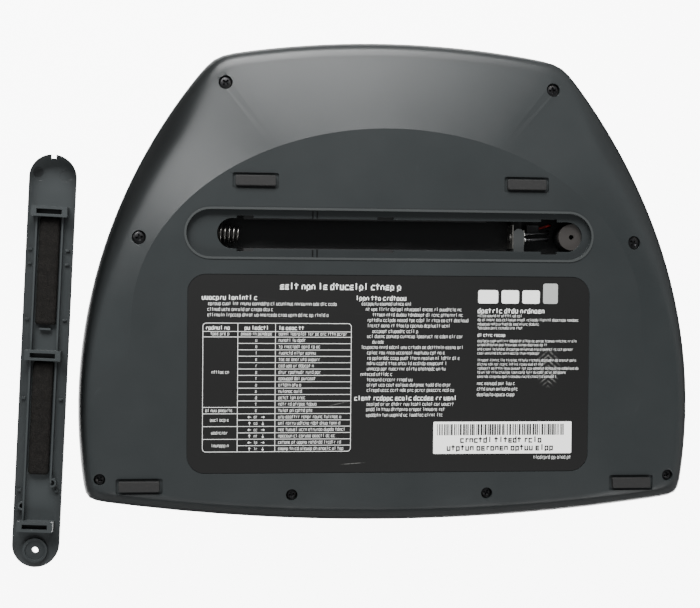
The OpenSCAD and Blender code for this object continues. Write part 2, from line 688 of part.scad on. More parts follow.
// A tapered cap: two trapezoid profiles crossed, carried on below its base where it is a cut
rear_taper = 0.6;
module cap_form(w, d, h, taper, below = 0) intersection() {
    more = taper * below / h;
    rotate([90, 0, 0]) linear_extrude(2 * d, center = true)
        polygon([[-w / 2 - more, -below], [w / 2 + more, -below], [w / 2 - taper, h], [taper - w / 2, h]]);
    rotate([90, 0, 90]) linear_extrude(2 * w, center = true)
        polygon([[-d / 2 - more, -below], [d / 2 + more * rear_taper, -below],
                 [d / 2 - taper * rear_taper, h], [taper - d / 2, h]]);
}
module key_cap(w, d, h) {
    top_w = w - 2 * cap_taper;
    dish_r = top_w * top_w / (8 * cap_dish) + cap_dish / 2;
    difference() {
        cap_form(w, d, h, cap_taper);
        cap_form(w - 2 * cap_wall, d - 2 * cap_wall, h - cap_wall - cap_dish, cap_taper, 1);
        if (w < dished_key * key_pitch) translate([0, 0, h - cap_dish + dish_r]) rotate([90, 0, 0])
            cylinder(r = dish_r, h = 2 * d, center = true, $fn = 180);
    }
}
module key(row, i) translate([key_x(row, i), key_v(row), -key_sink]) {
    h = key_top(row);
    roof = h - cap_wall - cap_dish;
    key_cap(key_w(row, i), key_d(row), h);
    block(-stem_w / 2, stem_w / 2, -stem_w / 2, stem_w / 2, stem_end + key_sink, roof + 0.1);
    if (has_posts(row, i)) for (x = [-1, 1]) translate([x * post_at(row, i), 0, 0])
        block(-post_w / 2, post_w / 2, -post_w / 2, post_w / 2, stem_end + key_sink, roof + 0.1);
}
key_colour = [0.2, 0.21, 0.22];
module keys(row, first, last) color(key_colour) on_deck() for (i = [first : last]) key(row, i);
module every_key() for (row = [0 : len(key_rows) - 1], i = [0 : len(key_rows[row]) - 1])
    translate([key_x(row, i), key_v(row), 0]) {
        $row = row;
        $i = i;
        children();
    }

// Guide plate under the keys, with a rim that clamps the dome sheet to its board
module square_hole(w, z0, z1) block(-w / 2, w / 2, -w / 2, w / 2, z0, z1);
module guide_plate() color([0.35, 0.36, 0.38]) on_deck() difference() {
    block(-frame_x, frame_x, frame_v0, frame_v1, dome_top, guide_top);
    block(-frame_x + rim_w, frame_x - rim_w, frame_v0 + rim_w, frame_v1 - rim_w, dome_top - 1, guide_under);
    every_key() {
        square_hole(stem_w + 2 * stem_gap, guide_under - 1, guide_top + 1);
        if (has_posts($row, $i)) for (x = [-1, 1]) translate([x * post_at($row, $i), 0, 0])
            square_hole(post_w + 2 * stem_gap, guide_under - 1, guide_top + 1);
    }
}
module dome_sheet() color([0.75, 0.75, 0.72]) on_deck() {
    block(-frame_x, frame_x, frame_v0, frame_v1, key_board_top, dome_top);
    every_key() translate([0, 0, dome_top - 0.1]) cylinder(r = 2.6, h = pad_t + 0.1, $fn = 24);
}
module key_board() color([0.1, 0.32, 0.2]) on_deck()
    block(-frame_x, frame_x, frame_v0, frame_v1, key_board_top - key_board_t, key_board_top);

module control_key() keys(0, 0, 0);
module option_key() keys(0, 1, 1);
module command_key() keys(0, 2, 2);
module space_bar() keys(0, 3, 3);
module modifier_key() keys(0, 4, 4);
module left_arrow_key() keys(0, 5, 5);
module up_arrow_key() keys(0, 6, 6);
module down_arrow_key() keys(0, 7, 7);
module right_arrow_key() keys(0, 8, 8);
module left_shift_key() keys(1, 0, 0);
module lower_left_letters() keys(1, 1, 5);
module lower_right_letters() keys(1, 6, 10);
module right_shift_key() keys(1, 11, 11);
module caps_lock_key() keys(2, 0, 0);
module home_left_letters() keys(2, 1, 5);
module home_right_letters() keys(2, 6, 11);
module enter_key() keys(2, 12, 12);
module tab_key() keys(3, 0, 0);
module upper_left_letters() keys(3, 1, 5);
module upper_right_letters() keys(3, 6, 12);
module backslash_key() keys(3, 13, 13);
module number_keys() keys(4, 0, 12);
module backspace_key() keys(4, 13, 13);
module power_key() keys(5, 0, 0);
module file_keys() keys(5, 1, 8);
module edit_keys() keys(5, 9, 13);
module send_key() keys(5, 14, 14);

// Display: bezel let into the ramp, window, glass panel and its metal frame
window_rim = 3;
collar_w = view_w + 4 * window_rim;
collar_d = view_d + 3 * window_rim;
bezel_top = 0.6;
flange_under = -1;
collar_under = -4;
window_t = 1.2;
panel_t = 1.2;
frame_t = 5;
module lcd_bezel() color([0.13, 0.14, 0.15]) on_ramp() difference() {
    union() {
        slab(bezel_w, bezel_d, 7, flange_under, bezel_top);
        slab(collar_w, collar_d, 2, collar_under, flange_under + eps);
    }
    slab(view_w, view_d, 1.5, collar_under - 1, bezel_top + 1);
    slab(view_w + 2 * window_rim, view_d + 2 * window_rim, 2.5, bezel_top - window_t - 0.2, bezel_top + 1);
}
module lcd_window() color([0.8, 0.85, 0.85, 0.35]) on_ramp()
    slab(view_w + 2 * window_rim - lcd_gap, view_d + 2 * window_rim - lcd_gap, 2.3,
         bezel_top - window_t - 0.2, bezel_top - 0.2);
module lcd_panel() color([0.55, 0.6, 0.5]) on_ramp()
    slab(collar_w - 4, collar_d - 3, 0.8, collar_under - panel_t, collar_under);
module lcd_frame() color([0.6, 0.6, 0.6]) on_ramp() difference() {
    slab(collar_w, collar_d, 1, collar_under - frame_t, collar_under);
    slab(collar_w - 4 + lcd_gap, collar_d - 3 + lcd_gap, 0.8, collar_under - panel_t, collar_under + 1);
}
cable_w = 24;
cable_t = 0.3;
cable_v = collar_d / 2 - 8;
cable_top = [lcd_y + cable_v * cos(ramp_tilt) - (collar_under - frame_t) * sin(ramp_tilt),
             ramp_z(lcd_y) + cable_v * sin(ramp_tilt) + (collar_under - frame_t) * cos(ramp_tilt)];
cable_drop = cable_top[1] - board_z - board_t;
module lcd_cable() color([0.75, 0.6, 0.3])
    translate([-cable_w / 2, cable_top[0], 0]) rotate([90, 0, 90]) linear_extrude(cable_w)
        polygon([[0, cable_top[1] - 0.05], [cable_t, cable_top[1] + 0.02],
                 [cable_t + 2, cable_top[1] - cable_drop * 0.4],
                 [cable_t + 1, board_z + board_t], [1, board_z + board_t],
                 [2, cable_top[1] - cable_drop * 0.4]]);

// Main board with its chips, screws, coin cell and rear sockets
board_chips = [[-26, 18, 14, 14, 1.6], [14, 44, 20, 20, 2], [38, 26, 10, 16, 1.2], [-14, 60, 30, 6, 3]];
board_top = board_z + board_t;
module main_board() color([0.08, 0.35, 0.2]) difference() {
    union() {
        block(-board_w / 2, board_w / 2, board_front_y, board_rear_y, board_z, board_top);
        for (c = board_chips) translate([c[0], board_front_y + c[1], board_top - eps])
            block(-c[2] / 2, c[2] / 2, -c[3] / 2, c[3] / 2, 0, c[4]);
    }
    for (p = post_sites) at_corners(p[0], p[1]) cylinder(r = 1.15, h = body_h);
}
module board_screws() color([0.7, 0.7, 0.72]) for (p = post_sites) at_corners(p[0], p[1]) {
    translate([0, 0, board_top]) cylinder(r = 2.2, h = 1.5);
    translate([0, 0, board_z - 5]) cylinder(r = 0.9, h = board_t + 5.5);
}
coin_site = [-46, board_front_y + 34];
module coin_holder() color([0.15, 0.15, 0.15]) translate([coin_site[0], coin_site[1], board_top])
    difference() {
        cylinder(r = 12, h = 4);
        translate([0, 0, 1]) cylinder(r = 10.15, h = 4);
        block(-13, 13, 7, 13, 2.5, 5);
    }
module coin_cell() color([0.8, 0.8, 0.8]) translate([coin_site[0], coin_site[1], board_top + 1])
    cylinder(r = 10, h = 3.2);
function rear_wall_y(x) = half_d - rear_arc_r + sqrt(pow(rear_arc_r, 2) - x * x);
port_inset = 1;
module at_port(x) translate([x, rear_wall_y(abs(x) + 6) - port_inset, board_top]) children();
usb_b = [12, 16, 11];
usb_a = [13.2, 14, 6.6];
dc_body = [9, 14, 11];
module port_body(size) block(-size[0] / 2, size[0] / 2, -size[1], 0, 0, size[2]);
module usb_b_socket() color([0.72, 0.72, 0.74]) at_port(usb_b_x) {
    difference() {
        port_body(usb_b);
        block(-4.25, 4.25, -12, 1, 1.6, 9.4);
    }
    block(-2.8, 2.8, -12.5, -1.5, 3.9, 7.1);
}
module usb_a_socket() color([0.72, 0.72, 0.74]) at_port(usb_a_x) {
    difference() {
        port_body(usb_a);
        block(-6.2, 6.2, -12, 1, 0.7, 5.9);
    }
    block(-5.6, 5.6, -12.5, -1, 3.9, 5.95);
}
module dc_jack() color([0.1, 0.1, 0.1]) at_port(dc_x) {
    difference() {
        port_body(dc_body);
        translate([0, -11, 5.5]) rotate([-90, 0, 0]) cylinder(r = 2.8, h = 13);
    }
    translate([0, -11.5, 5.5]) rotate([-90, 0, 0]) cylinder(r = 0.8, h = 10.5);
}
ir_z = board_top + 3;
module ir_window() color([0.12, 0.02, 0.04]) {
    block(-ir_w / 2, ir_w / 2, half_d - wall - 0.6, half_d - 0.7, ir_z, ir_z + ir_h);
    block(-ir_w / 2 - 2, ir_w / 2 + 2, half_d - wall - 1.8, half_d - wall - 0.5, ir_z - 2, ir_z + ir_h + 2);
}

// The top shell: rounded rim, sloped deck with the key wells, display ramp and rear crown
module upper_outer() ring_solid(concat(
    [inset_ring(0, function (a, x, y) part_z(y))],
    [for (t = [0 : 30 : 90])
        inset_ring(top_round * (1 - cos(t)), function (a, x, y) top_z(y) - top_round * (1 - sin(t)))]
));
deck_t = wall + deck_extra;
module upper_inner() ring_solid([
    inset_ring(wall, function (a, x, y) part_z(y) - 1),
    inset_ring(wall, function (a, x, y) top_z(y) - top_round - 0.5),
    inset_ring(wall + 1.6, function (a, x, y) top_z(y) - deck_t - 1.8),
    inset_ring(wall + 5, function (a, x, y) top_z(y) - deck_t)
]);
module port_cut(x, size) at_port(x)
    block(-size[0] / 2 - port_gap, size[0] / 2 + port_gap, -12, 12, -0.6, size[2] + port_gap);
module upper_housing() color([0.19, 0.21, 0.22]) difference() {
    union() {
        difference() {
            upper_outer();
            upper_inner();
        }
        on_deck() block(-frame_x, frame_x, frame_v0, frame_v1, guide_top, -1);
        at_screws() translate([0, 0, part_z($site[1])])
            cylinder(r = boss_r, h = top_z($site[1]) - part_z($site[1]) - 1.4);
    }
    on_deck() {
        block(-keys_w / 2 - well_gap, keys_w / 2 + well_gap, -well_gap, main_d + well_gap, guide_top - 9, 20);
        block(-keys_w / 2 - well_gap, keys_w / 2 + well_gap, main_d + fn_bar - well_gap,
              keys_d + well_gap, guide_top - 9, 20);
    }
    on_ramp() {
        slab(bezel_w + lcd_gap, bezel_d + lcd_gap, 7.1, flange_under, 12);
        slab(collar_w + 2 * lcd_gap, collar_d + 2 * lcd_gap, 2.2, -20, 12);
    }
    port_cut(usb_b_x, usb_b);
    port_cut(usb_a_x, usb_a);
    port_cut(dc_x, dc_body);
    block(-ir_w / 2 - port_gap, ir_w / 2 + port_gap, half_d - 12, half_d + 5,
          ir_z - port_gap, ir_z + ir_h + port_gap);
    at_screws() cylinder(r = screw_r + screw_gap, h = part_z($site[1]) + screw_bite + 0.5);
}

// The battery cover, lying on its clips beside the device with its inner side down
cover_top = clip_h + cover_t;
cover_half = cover_l / 2;
function cover_v(s) = cover_half - s;
foam_spans = [[31.8, 85.6], [104, 161]];
lug_s = [48, 55, 83, 123, 169.5];
cover_gap_x = body_w / 2 + cover_apart + cover_w / 2;
module on_desk() translate([cover_gap_x, cover_y, 0]) rotate([0, 0, cover_turn]) children();
module long_rib(side, s0, s1, bump_s) {
    z0 = clip_h - rib_h;
    block(side * rib_x - rib_t / 2, side * rib_x + rib_t / 2, cover_v(s1), cover_v(s0), z0, clip_h + eps);
    translate([side * (rib_x + 0.6), cover_v(bump_s), z0]) difference() {
        cylinder(r = 2.2, h = rib_h, $fn = 32);
        translate([0, 0, -1]) cylinder(r = 1.4, h = rib_h + 2, $fn = 32);
        translate([-side * 3.4, 0, 0]) cube([5.6, 8, 3 * rib_h], center = true);
    }
}
module clip(s) translate([0, cover_v(s), 0]) difference() {
    block(-clip_w / 2, clip_w / 2, -clip_l / 2, clip_l / 2, 0, clip_h + eps);
    block(-clip_w / 2 + 2 * clip_wall, clip_w / 2 - 2 * clip_wall, -clip_l / 2 + clip_wall,
          clip_l / 2 - clip_wall, -1, clip_h - 0.8);
    for (side = [-1, 1]) translate([side * clip_w / 2, 0, 2.2])
        rotate([0, side * 30, 0]) cube([1.2, clip_l + 1, 3], center = true);
}
module battery_cover() color([0.22, 0.24, 0.25]) on_desk() difference() {
    union() {
        rotate([0, 0, 90]) stadium(-cover_half, cover_half, cover_w, clip_h, cover_top);
        for (s = clip_s) clip(s);
        long_rib(-1, clip_s[0] + 2, clip_s[2] - 22, clip_s[2] - 22);
        long_rib(1, clip_s[0] + 2, clip_s[2] - 2, clip_s[2] - 10);
        for (s = lug_s, side = [-1, 1]) translate([side * 9.2, cover_v(s), 0])
            block(-0.9, 0.9, -0.5, 0.5, clip_h - 1.1, clip_h + eps);
        block(-2.8, 2.8, cover_v(88.3), cover_v(87.3), clip_h - 2, clip_h + eps);
        translate([0, cover_v(cover_l - cover_hole_s), clip_h - 1.5]) difference() {
            cylinder(r = 6.2, h = 1.6);
            translate([0, 0, -1]) cylinder(r = 5, h = 1.8);
        }
    }
    translate([0, cover_v(cover_l - cover_hole_s), 0]) {
        translate([0, 0, clip_h - 3]) cylinder(r = cover_hole_r, h = 8);
        translate([0, 0, cover_top - 0.9]) cylinder(r = 3.2, h = 2);
    }
    block(-1.3, 1.3, cover_half - 2.1, cover_half + 1, clip_h - 1, cover_top + 1);
    for (x = [-6.3, 6.3]) translate([x, cover_v(10.6), clip_h - 1]) cylinder(r = 3, h = 1.15);
}
module foam_strips() color([0.11, 0.11, 0.1]) on_desk() for (span = foam_spans)
    block(-foam_w / 2, foam_w / 2, cover_v(span[1]), cover_v(span[0]), clip_h - foam_t, clip_h);

// Everything is placed so that the origin lies under the middle of the whole set
cover_reach_x = cover_gap_x + (cover_half - cover_w / 2) * sin(cover_turn) + cover_w / 2;
cover_reach_y = cover_y - (cover_half - cover_w / 2) * cos(cover_turn) - cover_w / 2;
plan_half_w = max([for (a = plan_angles) plan_r(a) * cos(a)]);
plan_rear = plan_r(90);
plan_front = -plan_r(-90);
set_shift = [(plan_half_w - cover_reach_x) / 2, -(plan_rear + min(plan_front, cover_reach_y)) / 2, 0];
module placed() translate(set_shift) children();

placed() lower_housing();
placed() upper_housing();
placed() battery_tray();
placed() battery_spring();
placed() spring_plate();
placed() positive_contact();
placed() battery_plug();
placed() red_wire();
placed() black_wires();
placed() case_screws();
placed() rear_feet();
placed() front_feet();
placed() reference_label();
placed() serial_label();
placed() main_board();
placed() board_screws();
placed() lcd_frame();
placed() lcd_panel();
placed() lcd_window();
placed() lcd_bezel();
placed() lcd_cable();
placed() guide_plate();
placed() dome_sheet();
placed() key_board();
placed() coin_holder();
placed() coin_cell();
placed() usb_b_socket();
placed() usb_a_socket();
placed() dc_jack();
placed() ir_window();
placed() battery_cover();
placed() foam_strips();
placed() control_key();
placed() option_key();
placed() command_key();
placed() space_bar();
placed() modifier_key();
placed() left_arrow_key();
placed() up_arrow_key();
placed() down_arrow_key();
placed() right_arrow_key();
placed() left_shift_key();
placed() lower_left_letters();
placed() lower_right_letters();
placed() right_shift_key();
placed() caps_lock_key();
placed() home_left_letters();
placed() home_right_letters();
placed() enter_key();
placed() tab_key();
placed() upper_left_letters();
placed() upper_right_letters();
placed() backslash_key();
placed() number_keys();
placed() backspace_key();
placed() power_key();
placed() file_keys();
placed() edit_keys();
placed() send_key();
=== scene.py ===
import math
import random

import bmesh
import bpy
from mathutils import Matrix, Vector
from mathutils.geometry import convex_hull_2d


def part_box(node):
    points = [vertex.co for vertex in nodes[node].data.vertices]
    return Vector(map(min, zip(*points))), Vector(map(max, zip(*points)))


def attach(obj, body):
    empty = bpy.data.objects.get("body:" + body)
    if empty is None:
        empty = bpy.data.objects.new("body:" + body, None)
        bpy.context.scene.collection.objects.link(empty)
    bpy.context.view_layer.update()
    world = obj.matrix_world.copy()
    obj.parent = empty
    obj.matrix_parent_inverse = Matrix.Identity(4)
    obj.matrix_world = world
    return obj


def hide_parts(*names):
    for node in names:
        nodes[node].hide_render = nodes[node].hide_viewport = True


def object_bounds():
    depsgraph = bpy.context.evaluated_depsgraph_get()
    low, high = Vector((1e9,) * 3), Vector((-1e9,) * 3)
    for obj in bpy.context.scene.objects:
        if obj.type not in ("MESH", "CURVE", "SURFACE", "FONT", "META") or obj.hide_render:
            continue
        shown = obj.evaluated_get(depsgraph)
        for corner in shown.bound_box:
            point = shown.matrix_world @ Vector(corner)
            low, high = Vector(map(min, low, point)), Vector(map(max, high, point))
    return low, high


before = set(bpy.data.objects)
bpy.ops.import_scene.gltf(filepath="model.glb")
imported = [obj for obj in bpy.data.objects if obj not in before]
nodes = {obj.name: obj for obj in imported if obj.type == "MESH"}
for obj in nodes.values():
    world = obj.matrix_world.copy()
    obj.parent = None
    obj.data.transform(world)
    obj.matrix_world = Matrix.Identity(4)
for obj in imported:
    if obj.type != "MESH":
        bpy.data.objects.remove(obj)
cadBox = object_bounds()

mm = 0.001
scene = bpy.context.scene
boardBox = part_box("main_board")
boardFront = 38  # millimetres from the device's middle to the board's front edge
deviceOrigin = Vector(((boardBox[0].x + boardBox[1].x) / 2, boardBox[0].y - boardFront * mm, 0))
print("frame loaded:", len(nodes), "solids")


# Millimetres from the middle of the device, to metres in the frame
def devicePlace(x, y, z):
    return deviceOrigin + Vector((x, y, z)) * mm


deviceSpace = Matrix.Translation(deviceOrigin) @ Matrix.Scale(mm, 4)


# The key deck's front edge with its tilt, and the battery cover on the desk with its turn
deckPlace = {"y": -103.5, "z": 21.802, "tilt": 5}
coverPlace = {"x": 175.65, "y": -42, "turn": 2.5, "halfLength": 104.25}
deckSpace = (deviceSpace @ Matrix.Translation((0, deckPlace["y"], deckPlace["z"]))
             @ Matrix.Rotation(math.radians(deckPlace["tilt"]), 4, "X"))
coverSpace = (deviceSpace @ Matrix.Translation((coverPlace["x"], coverPlace["y"], 0))
              @ Matrix.Rotation(math.radians(coverPlace["turn"]), 4, "Z"))


# A paler or deeper tone of a colour
def tone(colour, factor, lift=0):
    return tuple(c * factor + lift for c in colour)


# One output of a shader node; arithmetic on it adds Math nodes
class Field:
    def __init__(self, finish, socket):
        self.finish = finish
        self.socket = socket

    def reckon(self, operation, other, swapped=False):
        pair = (other, self) if swapped else (self, other)
        return self.finish.node("ShaderNodeMath", {"operation": operation}, dict(enumerate(pair)))

    def __add__(self, other):
        return self.reckon("ADD", other)

    def __sub__(self, other):
        return self.reckon("SUBTRACT", other)

    def __rsub__(self, other):
        return self.reckon("SUBTRACT", other, True)

    def __mul__(self, other):
        return self.reckon("MULTIPLY", other)

    def __truediv__(self, other):
        return self.reckon("DIVIDE", other)

    def __gt__(self, other):
        return self.reckon("GREATER_THAN", other)

    def __lt__(self, other):
        return self.reckon("LESS_THAN", other)

    __radd__ = __add__
    __rmul__ = __mul__

    def least(self, other):
        return self.reckon("MINIMUM", other)

    def away(self):
        return self.finish.node("ShaderNodeMath", {"operation": "ABSOLUTE"}, {0: self})

    # 0 below low, 1 above high, smooth between
    def band(self, low, high):
        return self.finish.node("ShaderNodeMapRange", {"interpolation_type": "SMOOTHSTEP"},
                                {"Value": self, "From Min": low, "From Max": high})


# One procedural material; fixed values sit on the shader's own sockets
class Finish:
    def __init__(self, name, colour, roughness, **fixed):
        self.material = bpy.data.materials.new(name)
        self.material.use_nodes = True
        self.tree = self.material.node_tree
        self.shader = self.tree.nodes["Principled BSDF"]
        self.material.diffuse_color = (*colour, 1)
        self.shader.inputs["Base Color"].default_value = (*colour, 1)
        self.shader.inputs["Roughness"].default_value = roughness
        for key, value in fixed.items():
            self.shader.inputs[key.replace("_", " ")].default_value = value
        self.place = self.node("ShaderNodeTexCoord", output="Object")

    # Any node: its type, its settings, then the values or links of its sockets
    def node(self, kind, settings=None, inputs=None, output=0):
        made = self.tree.nodes.new(kind)
        for key, value in (settings or {}).items():
            setattr(made, key, value)
        for key, value in (inputs or {}).items():
            if isinstance(value, Field):
                self.tree.links.new(value.socket, made.inputs[key])
            else:
                made.inputs[key].default_value = value
        return Field(self, made.outputs[output])

    def feed(self, socket, value):
        self.tree.links.new(value.socket, self.shader.inputs[socket])

    # Grain of the given size in millimetres
    def noise(self, size, detail=2.0, roughness=0.5, distortion=0.0, place=None):
        return self.node("ShaderNodeTexNoise", {}, {
            "Vector": place or self.place, "Scale": 1 / (size * mm), "Detail": detail,
            "Roughness": roughness, "Distortion": distortion})

    def cells(self, size):
        return self.node("ShaderNodeTexVoronoi", {}, {"Vector": self.place, "Scale": 1 / (size * mm)},
                         "Distance")

    # The surface's place, moved to a point and stretched along its axes
    def stretched(self, place=(0, 0, 0), turn=(0, 0, 0), scale=(1, 1, 1)):
        return self.node("ShaderNodeMapping", {"vector_type": "TEXTURE"}, {
            "Vector": self.place, "Location": place, "Rotation": turn, "Scale": scale})

    def part(self, axis):
        return self.node("ShaderNodeSeparateXYZ", {}, {0: self.place}, axis)

    # Distance from a point, in units of the given scale
    def distance(self, place, turn=(0, 0, 0), scale=(1, 1, 1)):
        return self.node("ShaderNodeVectorMath", {"operation": "LENGTH"},
                         {0: self.stretched(tuple(place), turn, scale)}, "Value")

    # What the base colour is so far
    def body(self):
        return Field(self, self.shader.inputs["Base Color"].links[0].from_socket)

    def blend(self, mask, low, high):
        low, high = [(*c, 1) if isinstance(c, tuple) and len(c) == 3 else c for c in (low, high)]
        return self.node("ShaderNodeMix", {"data_type": "RGBA"}, {0: mask, 6: low, 7: high}, 2)

    # The base colour goes from low to high with the mask
    def paint(self, mask, low, high):
        self.feed("Base Color", self.blend(mask, low, high))

    # Grain that stands up to depth millimetres
    def relief(self, height, depth):
        self.feed("Normal", self.node("ShaderNodeBump", {}, {"Height": height, "Distance": depth * mm}))


# Moulded plastic with a fine spark-eroded grain, slow drifts of tone and small handling marks;
# grain is its size and depth its height, in millimetres
def mouldedPlastic(name, colour, roughness, grain=0.42, depth=0.03, drift=0.16, marks=0.25, **fixed):
    f = Finish(name, colour, roughness, **fixed)
    slow = f.noise(46, 3, 0.6)
    fine = f.noise(grain, 2, 0.65)
    body = f.blend(slow * 0.55 + fine * 0.45, tone(colour, 1 - drift), tone(colour, 1 + drift, 0.004))
    rubbed = f.noise(3.2, 4, 0.7, 0.6, f.stretched(turn=(0, 0, 0.5), scale=(1, 7, 1))).band(0.62, 0.78)
    worn = rubbed * f.noise(24, 2, 0.6).band(0.5, 0.7) * marks
    f.paint(worn, body, tone(colour, 1.6, 0.02))
    f.feed("Roughness", roughness - 0.07 + slow * 0.09 + fine * 0.05 + worn * 0.12)
    f.relief(fine, depth)
    return f


# Between the bay's rim and the flat a bead is painted pale as a painted highlight, and two slots across the
# rim are painted dark as painted shade
rimHighlightAndShade = {"beadBelow": 1.56, "beadHighlightColour": (0.031, 0.034, 0.034), "slotX": (38.45, 40.75),
            "slotHalf": 0.42, "slotZ": (4, 7), "bayY": 23.6, "bayHalf": 13}


def housingPlastic(name, colour, roughness):
    f = mouldedPlastic(name, colour, roughness, Specular_IOR_Level=0.42)
    m = rimHighlightAndShade
    x, y, z = (f.part(axis) for axis in range(3))
    # Painted highlight: the bead's face is painted paler than the housing
    beadHighlight = z < m["beadBelow"] * mm
    middle = devicePlace(0, m["bayY"], 0).y
    low, high = m["slotZ"]
    # Painted shade: two thin slots across the bay's rim are painted dark
    nearBay = ((y - middle).away() < m["bayHalf"] * mm) * (z > low * mm) * (z < high * mm)
    first, second = ((x - devicePlace(at, 0, 0).x).away() for at in m["slotX"])
    slotShade = (first.least(second) < m["slotHalf"] * mm) * nearBay
    withBeadHighlight = f.blend(beadHighlight, f.body(), m["beadHighlightColour"])
    f.paint(slotShade, withBeadHighlight, tone(colour, 0.2))
    return f


flat = (1, 1, 1000)  # a scale that leaves height out of a distance

# The battery cover, with one dull ejector mark by its hook
ejectorMark = {"x": 7.2, "y": 94.9, "r": 2.5, "fade": 1.1}


def coverPlastic(name, colour, roughness):
    f = mouldedPlastic(name, colour, roughness, grain=0.5, depth=0.024, drift=0.2, marks=0.6)
    m = ejectorMark
    fromMark = f.distance(coverSpace @ Vector((m["x"], m["y"], 0)), scale=flat)
    onMark = 1 - fromMark.band(m["r"] * mm, m["r"] * m["fade"] * mm)
    f.paint(onMark, f.body(), tone(colour, 0.45))
    return f


# The bay's tray is a lit and a shaded copy of one plastic: nearly black as painted shade deep in the bay,
# with its divider and screw boss near the opening painted about as pale as the housing as painted light
trayPlaces = {"dividerX": -67.3, "dividerHalf": 3.4, "bossX": -95.4, "bayY": 23.6, "bossR": 7.1,
              "deepest": 9}


def shadedTrayPlastic(name, colour, dividerLitTone, bossLitTone):
    f = mouldedPlastic(name, colour, 0.5, 0.5, 0.02)
    dark = f.body()
    t = trayPlaces
    divider = devicePlace(t["dividerX"], t["bayY"], 0)
    boss = devicePlace(t["bossX"], t["bayY"], 0)
    x = f.part(0)
    low = f.part(2) < t["deepest"] * mm
    # Painted light on the divider and the boss near the opening; the rest of the tray stays dark as painted
    # shade
    litDivider = ((x - divider.x).away() < t["dividerHalf"] * mm) * low
    litBoss = (f.distance(boss, scale=flat) < t["bossR"] * mm) * low
    f.paint(litBoss, f.blend(litDivider, dark, dividerLitTone), bossLitTone)
    return f


# A label's coat: almost even, with faint streaks, one scuff of short chevrons and two scratches
labelWear = {"scuffAt": (-82.5, -44.5), "scuffHalf": (7.2, 11.5), "scuffPitch": 2.7, "scuffSlope": 0.85,
             "scratches": ((27, -63.2, 6.5, -12), (19.5, -94, 7.5, -4)), "scratchHalf": 0.22}


def printedSheet(name, colour, roughness):
    f = Finish(name, colour, roughness, Specular_IOR_Level=0.3)
    speck = f.noise(0.5, 2, 0.6)
    streak = f.noise(5, 4, 0.6, 0.2, f.stretched(turn=(0, 0, 0.12), scale=(9, 0.35, 1))).band(0.66, 0.74)
    patch = f.noise(30, 2, 0.5).band(0.55, 0.75)
    w = labelWear

    def within(x, y, halfLong, halfWide, turn=0):
        return f.distance(devicePlace(x, y, 0), (0, 0, math.radians(turn)),
                          (halfLong * mm, halfWide * mm, 60 * mm))

    middle = devicePlace(*w["scuffAt"], 0)
    rise = f.part(1) + (f.part(0) - middle.x).away() * w["scuffSlope"] + f.noise(6) * 1.5 * mm
    turns = rise * (2 * math.pi / (w["scuffPitch"] * mm))
    lines = f.node("ShaderNodeMath", {"operation": "SINE"}, {0: turns})
    scuff = (1 - within(*w["scuffAt"], *w["scuffHalf"]).band(0.55, 1.0)) * lines.band(0.1, 0.8)
    worn = streak * patch * 0.2 + scuff * f.noise(1.6, 3, 0.6).band(0.3, 0.6)
    broken = f.noise(1.1).band(0.3, 0.5)
    for x, y, half, turn in w["scratches"]:
        worn = worn + (1 - within(x, y, half, w["scratchHalf"], turn).band(0.4, 1.0)) * broken
    worn = worn.least(1)
    f.paint(worn, colour, (0.09, 0.09, 0.085))
    f.feed("Roughness", roughness + speck * 0.06 + worn * 0.1)
    f.relief(speck, 0.006)
    return f


# Ink with small gaps where it has rubbed off, which show the lost colour
def ink(name, colour, lost):
    f = Finish(name, colour, 0.6)
    gaps = f.noise(0.7, 3, 0.6).band(0.6, 0.75) * f.noise(12, 2).band(0.4, 0.7)
    f.paint(gaps, colour, lost)
    f.feed("Roughness", 0.5 + f.noise(0.4) * 0.2)
    return f


def metal(name, colour, roughness, brushed=(1, 1, 1), tarnish=(0.2, 0.17, 0.13), share=0.3):
    f = Finish(name, colour, roughness, Metallic=1.0)
    fine = f.noise(0.35, 3, 0.6, 0, f.stretched(scale=brushed))
    stain = f.noise(3, 4, 0.65).band(0.5, 0.85) * share
    f.paint(stain, colour, tarnish)
    f.feed("Roughness", roughness + fine * 0.16 + stain * 0.3)
    f.relief(fine, 0.012)
    return f


def rubber(name, colour):
    f = Finish(name, colour, 0.78, Specular_IOR_Level=0.25)
    dust = f.noise(1.4, 4, 0.7).band(0.52, 0.8)
    fine = f.noise(0.25, 2, 0.6)
    f.paint(dust * 0.35, colour, (0.05, 0.047, 0.042))
    f.feed("Roughness", 0.72 + dust * 0.2)
    f.relief(fine + dust * 0.5, 0.03)
    return f


# Open-cell foam tape: pores painted darker as painted shade, matted hairs and a rub of dust
def openFoam(name, colour):
    f = Finish(name, colour, 0.95, Specular_IOR_Level=0.12)
    pores = f.cells(0.55)
    coarse = f.noise(2.6, 4, 0.65)
    hairs = f.noise(0.5, 3, 0.7, 1.2, f.stretched(scale=(1, 5, 1)))
    # Painted shade darkens the pores, and coarse patches run darker or paler with dust
    poreShadeAndDust = (coarse * 0.7 + pores * 0.5).band(0.3, 0.9)
    f.paint(poreShadeAndDust, tone(colour, 0.5), tone(colour, 1.7))
    f.feed("Roughness", 0.86 + coarse * 0.12)
    f.relief(pores * 0.7 + hairs * 0.6 + coarse * 0.6, 0.22)
    return f


def circuitBoard(name, colour):
    f = Finish(name, colour, 0.4)
    tracks = f.node("ShaderNodeTexBrick", {"offset": 0.5}, {
        "Vector": f.place, "Scale": 1 / (6 * mm), "Mortar Size": 0.03, "Mortar Smooth": 0.2}, "Fac")
    f.paint(tracks, colour, tone(colour, 1.8, 0.01))
    f.feed("Roughness", 0.36 + f.noise(2) * 0.1)
    f.relief(tracks, 0.03)
    return f


